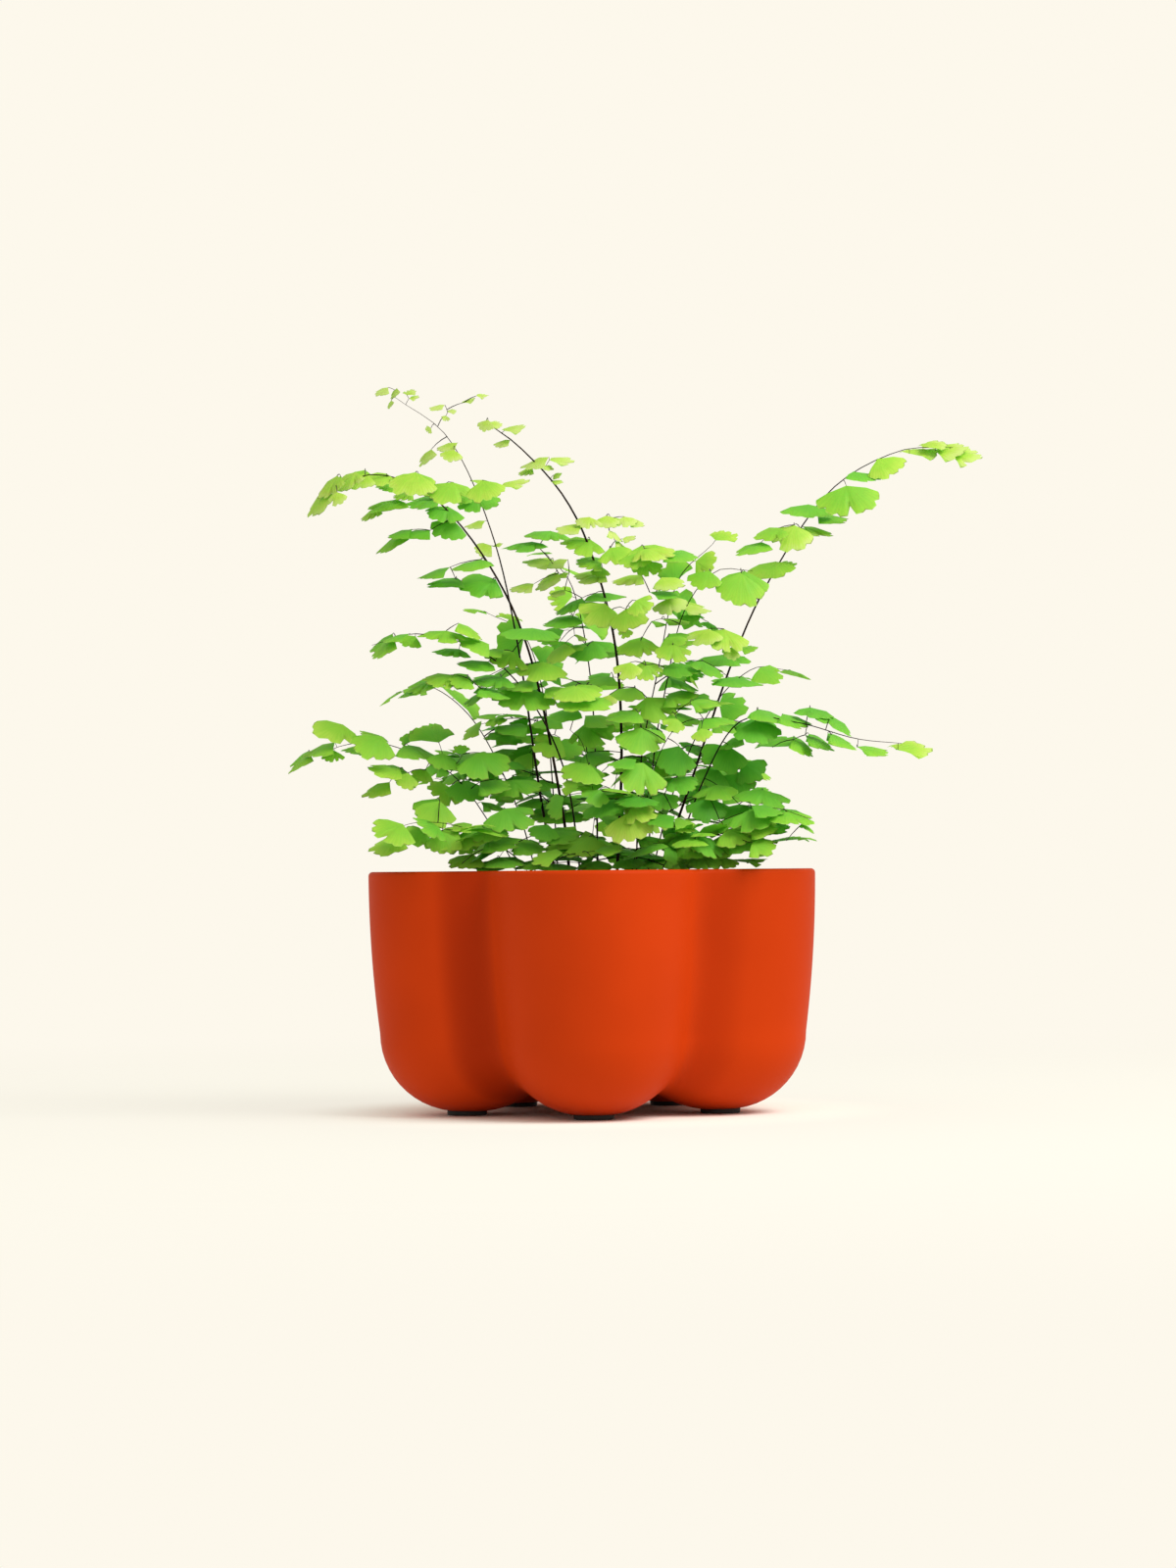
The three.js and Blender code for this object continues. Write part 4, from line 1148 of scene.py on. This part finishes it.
def posed(up, width, height, heading, roll):  # the length and turn that give a leaflet this outline
    nearest = 90 if 0 < heading <= 180 else 270
    for share in (0, 0.25, 0.5, 0.75, 1):  # a wide leaflet is one that points more to the front or back
        turn = math.radians(heading + (nearest - heading) * share)
        if abs(nearest - heading) > 180:
            turn = math.radians(heading + (nearest - heading + 360) * share)
        low, high = planBox(turn)
        length = placed["size"] * width / (high.x - low.x)
        if length < placed["longest"]:
            break
    lean = math.asin(min(height / (length * (high.y - low.y)), placed["steepest"]))
    lean += math.atan((up - camera["height"]) / camera["away"])  # as the camera sees it from below
    tilt = Matrix.Rotation(-math.radians(roll), 3, "Y") @ Matrix.Rotation(lean, 3, "X")
    middle = tilt @ (length * ((low + high) / 2).to_3d())
    return length, tilt @ Matrix.Rotation(turn, 3, "Z"), middle


def bodyOf(mesh, placing):  # a tree of its faces, its middle and its reach
    points = [placing @ vertex.co for vertex in mesh.vertices]
    middle = sum(points, Vector()) / len(points)
    reach = max((point - middle).length for point in points)
    return BVHTree.FromPolygons(points, [face.vertices for face in mesh.polygons]), middle, reach


crowd = [bodyOf(piece.data, Matrix()) for piece in (potPiece, soilPiece)]  # and each leaflet that stands


def meets(body):  # how many of the crowd it passes through
    tree, middle, reach = body
    near = [other for other, centre, span in crowd if (centre - middle).length < reach + span]
    return sum(bool(tree.overlap(other)) for other in near)


class Frond:
    def __init__(self, name, number):
        self.name = name
        self.draw = random.Random(number)
        self.sparse = growth["sparse"] if name.startswith(("inner", "back")) else 1
        self.leaves = bmesh.new()
        self.tints = []
        curve = bpy.data.curves.new(f"frond_{name}_stems", "CURVE")
        curve.dimensions, curve.bevel_depth, curve.bevel_resolution = "3D", 1, 1
        curve.use_fill_caps = True
        self.curve = curve

    def line(self, points, radii, material):
        spline = self.curve.splines.new("POLY")
        spline.points.add(len(points) - 1)
        spline.material_index = material
        spline.use_smooth = True
        for place, point, radius in zip(spline.points, points, radii):
            place.co = (*fromFrame(point), 1)
            place.radius = radius * mm

    def grow(self, route, count, thick, thin, taper, youngFrom):
        shares = [i / count for i in range(count + 1)]
        radii = [thin + (thick - thin) * (1 - share) ** taper for share in shares]
        points = [route.at(share) for share in shares]
        turned = round(youngFrom * count)
        if turned:
            self.line(points[: turned + 1], radii[: turned + 1], 0)
        self.line(points[turned:], radii[turned:], 1)

    def leaflet(self, spots, size, tint):  # at the first clear spot, or else where it meets the fewest
        shape = self.draw.choice(leafletShapes)
        fewest = None
        for at, basis in spots:
            placing = Matrix.Translation(fromFrame(at)) @ basis.to_4x4() @ Matrix.Scale(size * mm, 4)
            body = bodyOf(shape.data, placing)
            count = meets(body)
            if fewest is None or count < fewest:
                fewest, chosen = count, (at, placing, body)
            if not count:
                break
        at, placing, body = chosen
        crowd.append(body)
        begin = len(self.leaves.verts)
        self.leaves.from_mesh(shape.data)
        self.leaves.verts.ensure_lookup_table()
        added = self.leaves.verts[begin:]
        bmesh.ops.transform(self.leaves, matrix=placing, verts=added)
        self.tints += [tint] * len(added)
        return at

    def leafletsAlong(self, route, start, size, roll, fork, freshness):
        draw = self.draw
        length = route.length * (1 - start)
        steps = max(2, round(length / (size * growth["spacing"] * self.sparse)))
        for i in range(steps + 1):
            share = start + (1 - start) * i / steps
            side = 0 if i == steps else (1 if i % 2 else -1)
            at, ahead, left, normal = facing(route, share, roll)
            full = size * (growth["start"] + (growth["end"] - growth["start"]) * i / steps)
            full *= 1 + growth["sway"] * (draw.random() - 0.5)
            turn = math.radians(side * growth["turn"] + growth["turnSway"] * (draw.random() - 0.5))
            if fork and i in (0, 1):
                out = ahead * math.cos(turn) + left * math.sin(turn)
                heading = math.degrees(math.atan2(out.y, out.x))
                branch = sprayRoute(at, heading, route.length * growth["branchShare"], fork)
                thick = twig["radius"] * twig["branchRadius"]
                self.grow(branch, twig["branchPoints"], thick, twig["tipRadius"], 1, 0)
                smaller = size * twig["branchSize"]
                self.leafletsAlong(branch, twig["branchBare"], smaller, roll, None, freshness)
                continue
            droop = math.radians(growth["droop"] + growth["droopSway"] * (draw.random() - 0.5))
            if draw.random() < growth["facing"]:
                droop += math.radians(growth["facingDroop"])
            sway = math.radians(growth["rollSway"]) * (draw.random() - 0.5)
            basis = Matrix((ahead, left, normal)).transposed()
            basis = basis @ Euler((sway, droop, turn), "XYZ").to_matrix()
            out = basis @ Vector((1, 0, stalk["rise"]))
            root = at + out * stalk["length"] * (stalk["shortest"] + draw.random() * stalk["spread"])
            if at.y < growth["frontUpTo"] and (root + out * full).z < growth["lowest"]:
                continue
            self.line([at, (at + root) / 2 + normal * stalk["bow"], root], [stalk["radius"]] * 3, 1)
            tint = freshness + growth["tintSway"] * (draw.random() - 0.5) + growth["outerTint"] * i / steps
            spots = []
            for swing in swingsTried:
                for tip in tipsTried:
                    aside = Euler((0, math.radians(tip), math.radians(swing)), "XYZ").to_matrix()
                    spots.append((root - out * stalk["overlap"], basis @ aside))
            self.leaflet(spots, full, tint)

    def twigTo(self, start, end):  # grows a fine twig, and returns points on it
        reach = (end - start).length
        arch = Vector((0, 0, placed["arch"] * reach))
        points = [start, start.lerp(end, 0.33) + arch * 0.9, start.lerp(end, 0.67) + arch, end]
        thick = placed["twigRadius"] if reach > placed["twigFrom"] else stalk["radius"]
        self.line(points, [thick, thick, (thick + stalk["radius"]) / 2, stalk["radius"]], 1)
        return points[1:]

    def placeSeen(self, route, rows):
        draw = self.draw
        first, span, steps = placed["stemFrom"], placed["stemSpan"], placed["stemSteps"]
        points = [route.at(first + span * i / steps) for i in range(steps + 1)]
        onStem = len(points)
        views = [inView(point) for point in points]
        waiting = []
        for across, up, width, height, heading, roll, freshness in rows:
            size, basis, reach = posed(up, width, height, heading, roll)
            tint = placed["freshFrom"] + placed["freshSpan"] * freshness
            steep = -basis.col[2].y > placed["heroFrom"] and freshness > placed["heroFresh"]
            waiting.append((Vector((across - reach.x, up - reach.z)), size, basis, tint, width, steep))
        while waiting:  # what is nearest to a twig goes on it first
            nearest = [min(range(len(views)), key=lambda i: (views[i] - row[0]).length) for row in waiting]
            gaps = [(views[i] - row[0]).length for i, row in zip(nearest, waiting)]
            chosen = gaps.index(min(gaps))
            base, size, basis, tint, width, steep = waiting.pop(chosen)
            at = nearest[chosen]
            low, high = placed["depths"] if at < onStem else (-placed["swayDepth"], placed["swayDepth"])
            spread = min(1, gaps[chosen] / placed["fullDepthFrom"])
            if steep:
                low, high, spread = *placed["heroDepths"], 1
            depth = points[at].y + draw.uniform(low, high) * spread
            shifts = [shift for shift in depthsTried if shift < placed["heroShift"] or not steep]
            depths = [max(depth + shift, placed["foremost"]) for shift in shifts]
            spots = [(onSight(base.x, base.y, depth), basis) for depth in depths]
            root = self.leaflet(spots, size, tint + placed["tintSway"] * (draw.random() - 0.5))
            added = self.twigTo(points[at], root)
            points += added
            views += [inView(point) for point in added]
            if width > placed["partnerFrom"] and draw.random() < placed["partnerShare"]:
                depth = root.y + draw.uniform(*placed["partnerDepths"])
                right, higher = draw.uniform(*placed["partnerAcross"]), draw.uniform(*placed["partnerUp"])
                aside = Vector((right, 0, higher))
                spots = [(onSight(base.x, base.y, depth + shift) + aside, basis) for shift in depthsTried]
                partner = self.leaflet(spots, size * placed["partnerSize"], tint - placed["partnerDarker"])
                self.twigTo(root, partner)

    def finish(self):
        name = f"frond_{self.name}"
        stems = bpy.data.objects.new(f"{name}_stems", self.curve)
        bpy.context.scene.collection.objects.link(stems)
        bpy.ops.object.select_all(action="DESELECT")
        bpy.context.view_layer.objects.active = stems
        stems.select_set(True)
        self.curve.materials.append(darkStem)
        self.curve.materials.append(thinStem)
        bpy.ops.object.convert(target="MESH")
        stems = bpy.context.object
        mesh = bpy.data.meshes.new(f"{name}_leaves")
        self.leaves.to_mesh(mesh)
        self.leaves.free()
        mesh.attributes.new("tint", "FLOAT", "POINT").data.foreach_set("value", self.tints)
        leaves = bpy.data.objects.new(f"{name}_leaves", mesh)
        bpy.context.scene.collection.objects.link(leaves)
        dress(leaves, "leaf", leafMaterial)
        dress(stems, "leaf")
        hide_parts(name)
        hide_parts(name)


def makeFrond(number, name, root, path, size=0, tip=0, freshness=0, sprays=()):
    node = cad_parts[f"frond_{name}"]
    solid = BVHTree.FromPolygons([v.co for v in node.data.vertices], [p.vertices for p in node.data.polygons])
    frond = Frond(name, number)
    route = stemRoute(root, path)
    slender = min(1, route.length / stem["fullFrom"]) ** stem["slenderPower"]
    thick = stem["radius"] * slender * stem["thicker"].get(name, 1)
    taper = stem["tapers"].get(name, stem["taper"])
    frond.grow(route, stem["points"], thick, stem["tipRadius"], taper, stem["youngFrom"])
    frond.placeSeen(route, leaflets.get(name, ()))
    leafletSize = size * growth["size"]
    if tip:
        frond.leafletsAlong(route, 1 - tip, leafletSize, 0, None, freshness + growth["tipTint"])
    for share, heading, length, lift in sprays:
        start = route.at(share)
        turned, lifted = fittedSpray(solid, start, heading, length, lift)
        reach = length * (twig["longer"] if frond.sparse == 1 else twig["shorter"])
        spray = sprayRoute(start, turned, reach, lifted)
        frond.grow(spray, twig["points"], twig["radius"], twig["tipRadius"], 1, 0)
        fork = lifted if length >= growth["branchFrom"] else None
        frond.leafletsAlong(spray, twig["bareShare"], leafletSize, 0, fork, freshness)
    frond.finish()


for number, (name, values) in enumerate(fronds.items()):
    makeFrond(number, name, *values)
for shape in leafletShapes:
    bpy.data.objects.remove(shape)
print("fronds done")

stage = {  # the floor's measures are in metres
    "radius": 0.9,
    "sides": 96,
    "clearFrom": 0.2,  # the floor fades into the paper behind it
    "clearTo": 0.75,
    "paper": (0.982, 0.939, 0.838),
    "underPot": (0.95, 0.97, 0.9),  # cooler, as the pot reddens what lies round it
    "room": 0.78,  # light on the plant, as a share of the paper's brightness
    "even": 0.8,  # share of the floor's paper that no shadow falls on
    "evenLight": 0.95,
    "evenFrom": 0.05,
    "evenTo": 0.115,
}
key = {
    "place": (0.78, -0.56, 1.15),
    "aimUp": 0.11,
    "size": 0.95,
    "power": 18,
    "colour": (1, 0.98, 0.95),
}


def makeStage():
    bpy.ops.mesh.primitive_circle_add(
        vertices=stage["sides"], radius=stage["radius"], fill_type="NGON", location=(*potAxis, 0)
    )
    floor = bpy.context.object
    floor.name = "floor"
    bpy.ops.object.transform_apply(location=True, rotation=True, scale=True)
    finish = Finish("floor")
    shift = {"Vector": finish.place(), "Location": (-potAxis.x, -potAxis.y, 0)}
    centred = finish.node("ShaderNodeMapping", {}, shift)
    far = finish.node("ShaderNodeVectorMath", {"operation": "LENGTH"}, {0: centred["Vector"]})["Value"]
    shaded = finish.node("ShaderNodeBsdfDiffuse", {}, {"Color": (*stage["underPot"], 1)})["BSDF"]
    glow = {"Color": (*stage["paper"], 1), "Strength": stage["evenLight"]}
    even = finish.node("ShaderNodeEmission", {}, glow)["Emission"]
    share = stage["even"] * far.ramp(stage["evenFrom"], stage["evenTo"])
    lit = finish.node("ShaderNodeMixShader", {}, {0: share, 1: shaded, 2: even})["Shader"]
    clear = finish.node("ShaderNodeBsdfTransparent")["BSDF"]
    fade = far.ramp(stage["clearFrom"], stage["clearTo"])
    floor.data.materials.append(
        finish.surface(finish.node("ShaderNodeMixShader", {}, {0: fade, 1: lit, 2: clear})["Shader"])
    )


def makeWorld():  # the camera sees the paper at full brightness, and the room lights the plant more softly
    world = bpy.data.worlds.new("studio")
    world.use_nodes = True
    tree = world.node_tree
    background = tree.nodes["Background"]
    background.inputs["Color"].default_value = (*stage["paper"], 1)
    seen = tree.nodes.new("ShaderNodeMapRange")
    seen.inputs["To Min"].default_value, seen.inputs["To Max"].default_value = stage["room"], 1
    tree.links.new(tree.nodes.new("ShaderNodeLightPath").outputs["Is Camera Ray"], seen.inputs["Value"])
    tree.links.new(seen.outputs["Result"], background.inputs["Strength"])
    bpy.context.scene.world = world


def makeLamp(name, values):
    bpy.ops.object.light_add(type="AREA", location=values["place"])
    lamp = bpy.context.object
    lamp.name = name
    lamp.data.shape, lamp.data.size = "DISK", values["size"]
    lamp.data.energy, lamp.data.color = values["power"], values["colour"]
    aim = Vector((*potAxis, values["aimUp"])) - Vector(values["place"])
    lamp.rotation_euler = aim.to_track_quat("-Z", "Y").to_euler()


def makeCamera():
    place = fromFrame(Vector((camera["aside"], -camera["away"], camera["height"])))
    bpy.ops.object.camera_add(location=place)
    eye = bpy.context.object
    eye.data.lens, eye.data.sensor_width = camera["lens"], camera["sensor"]
    eye.data.clip_start, eye.data.clip_end = camera["clip"]
    up = Matrix.Rotation(math.radians(90 + camera["pitch"]), 3, "X")
    roll = Matrix.Rotation(math.radians(camera["roll"]), 3, "Z")
    eye.rotation_euler = (up @ roll).to_euler()
    bpy.context.scene.camera = eye


makeStage()
makeWorld()
makeLamp("key", key)
makeCamera()
bpy.context.scene.view_settings.view_transform = "Standard"
print("stage, light and camera done")
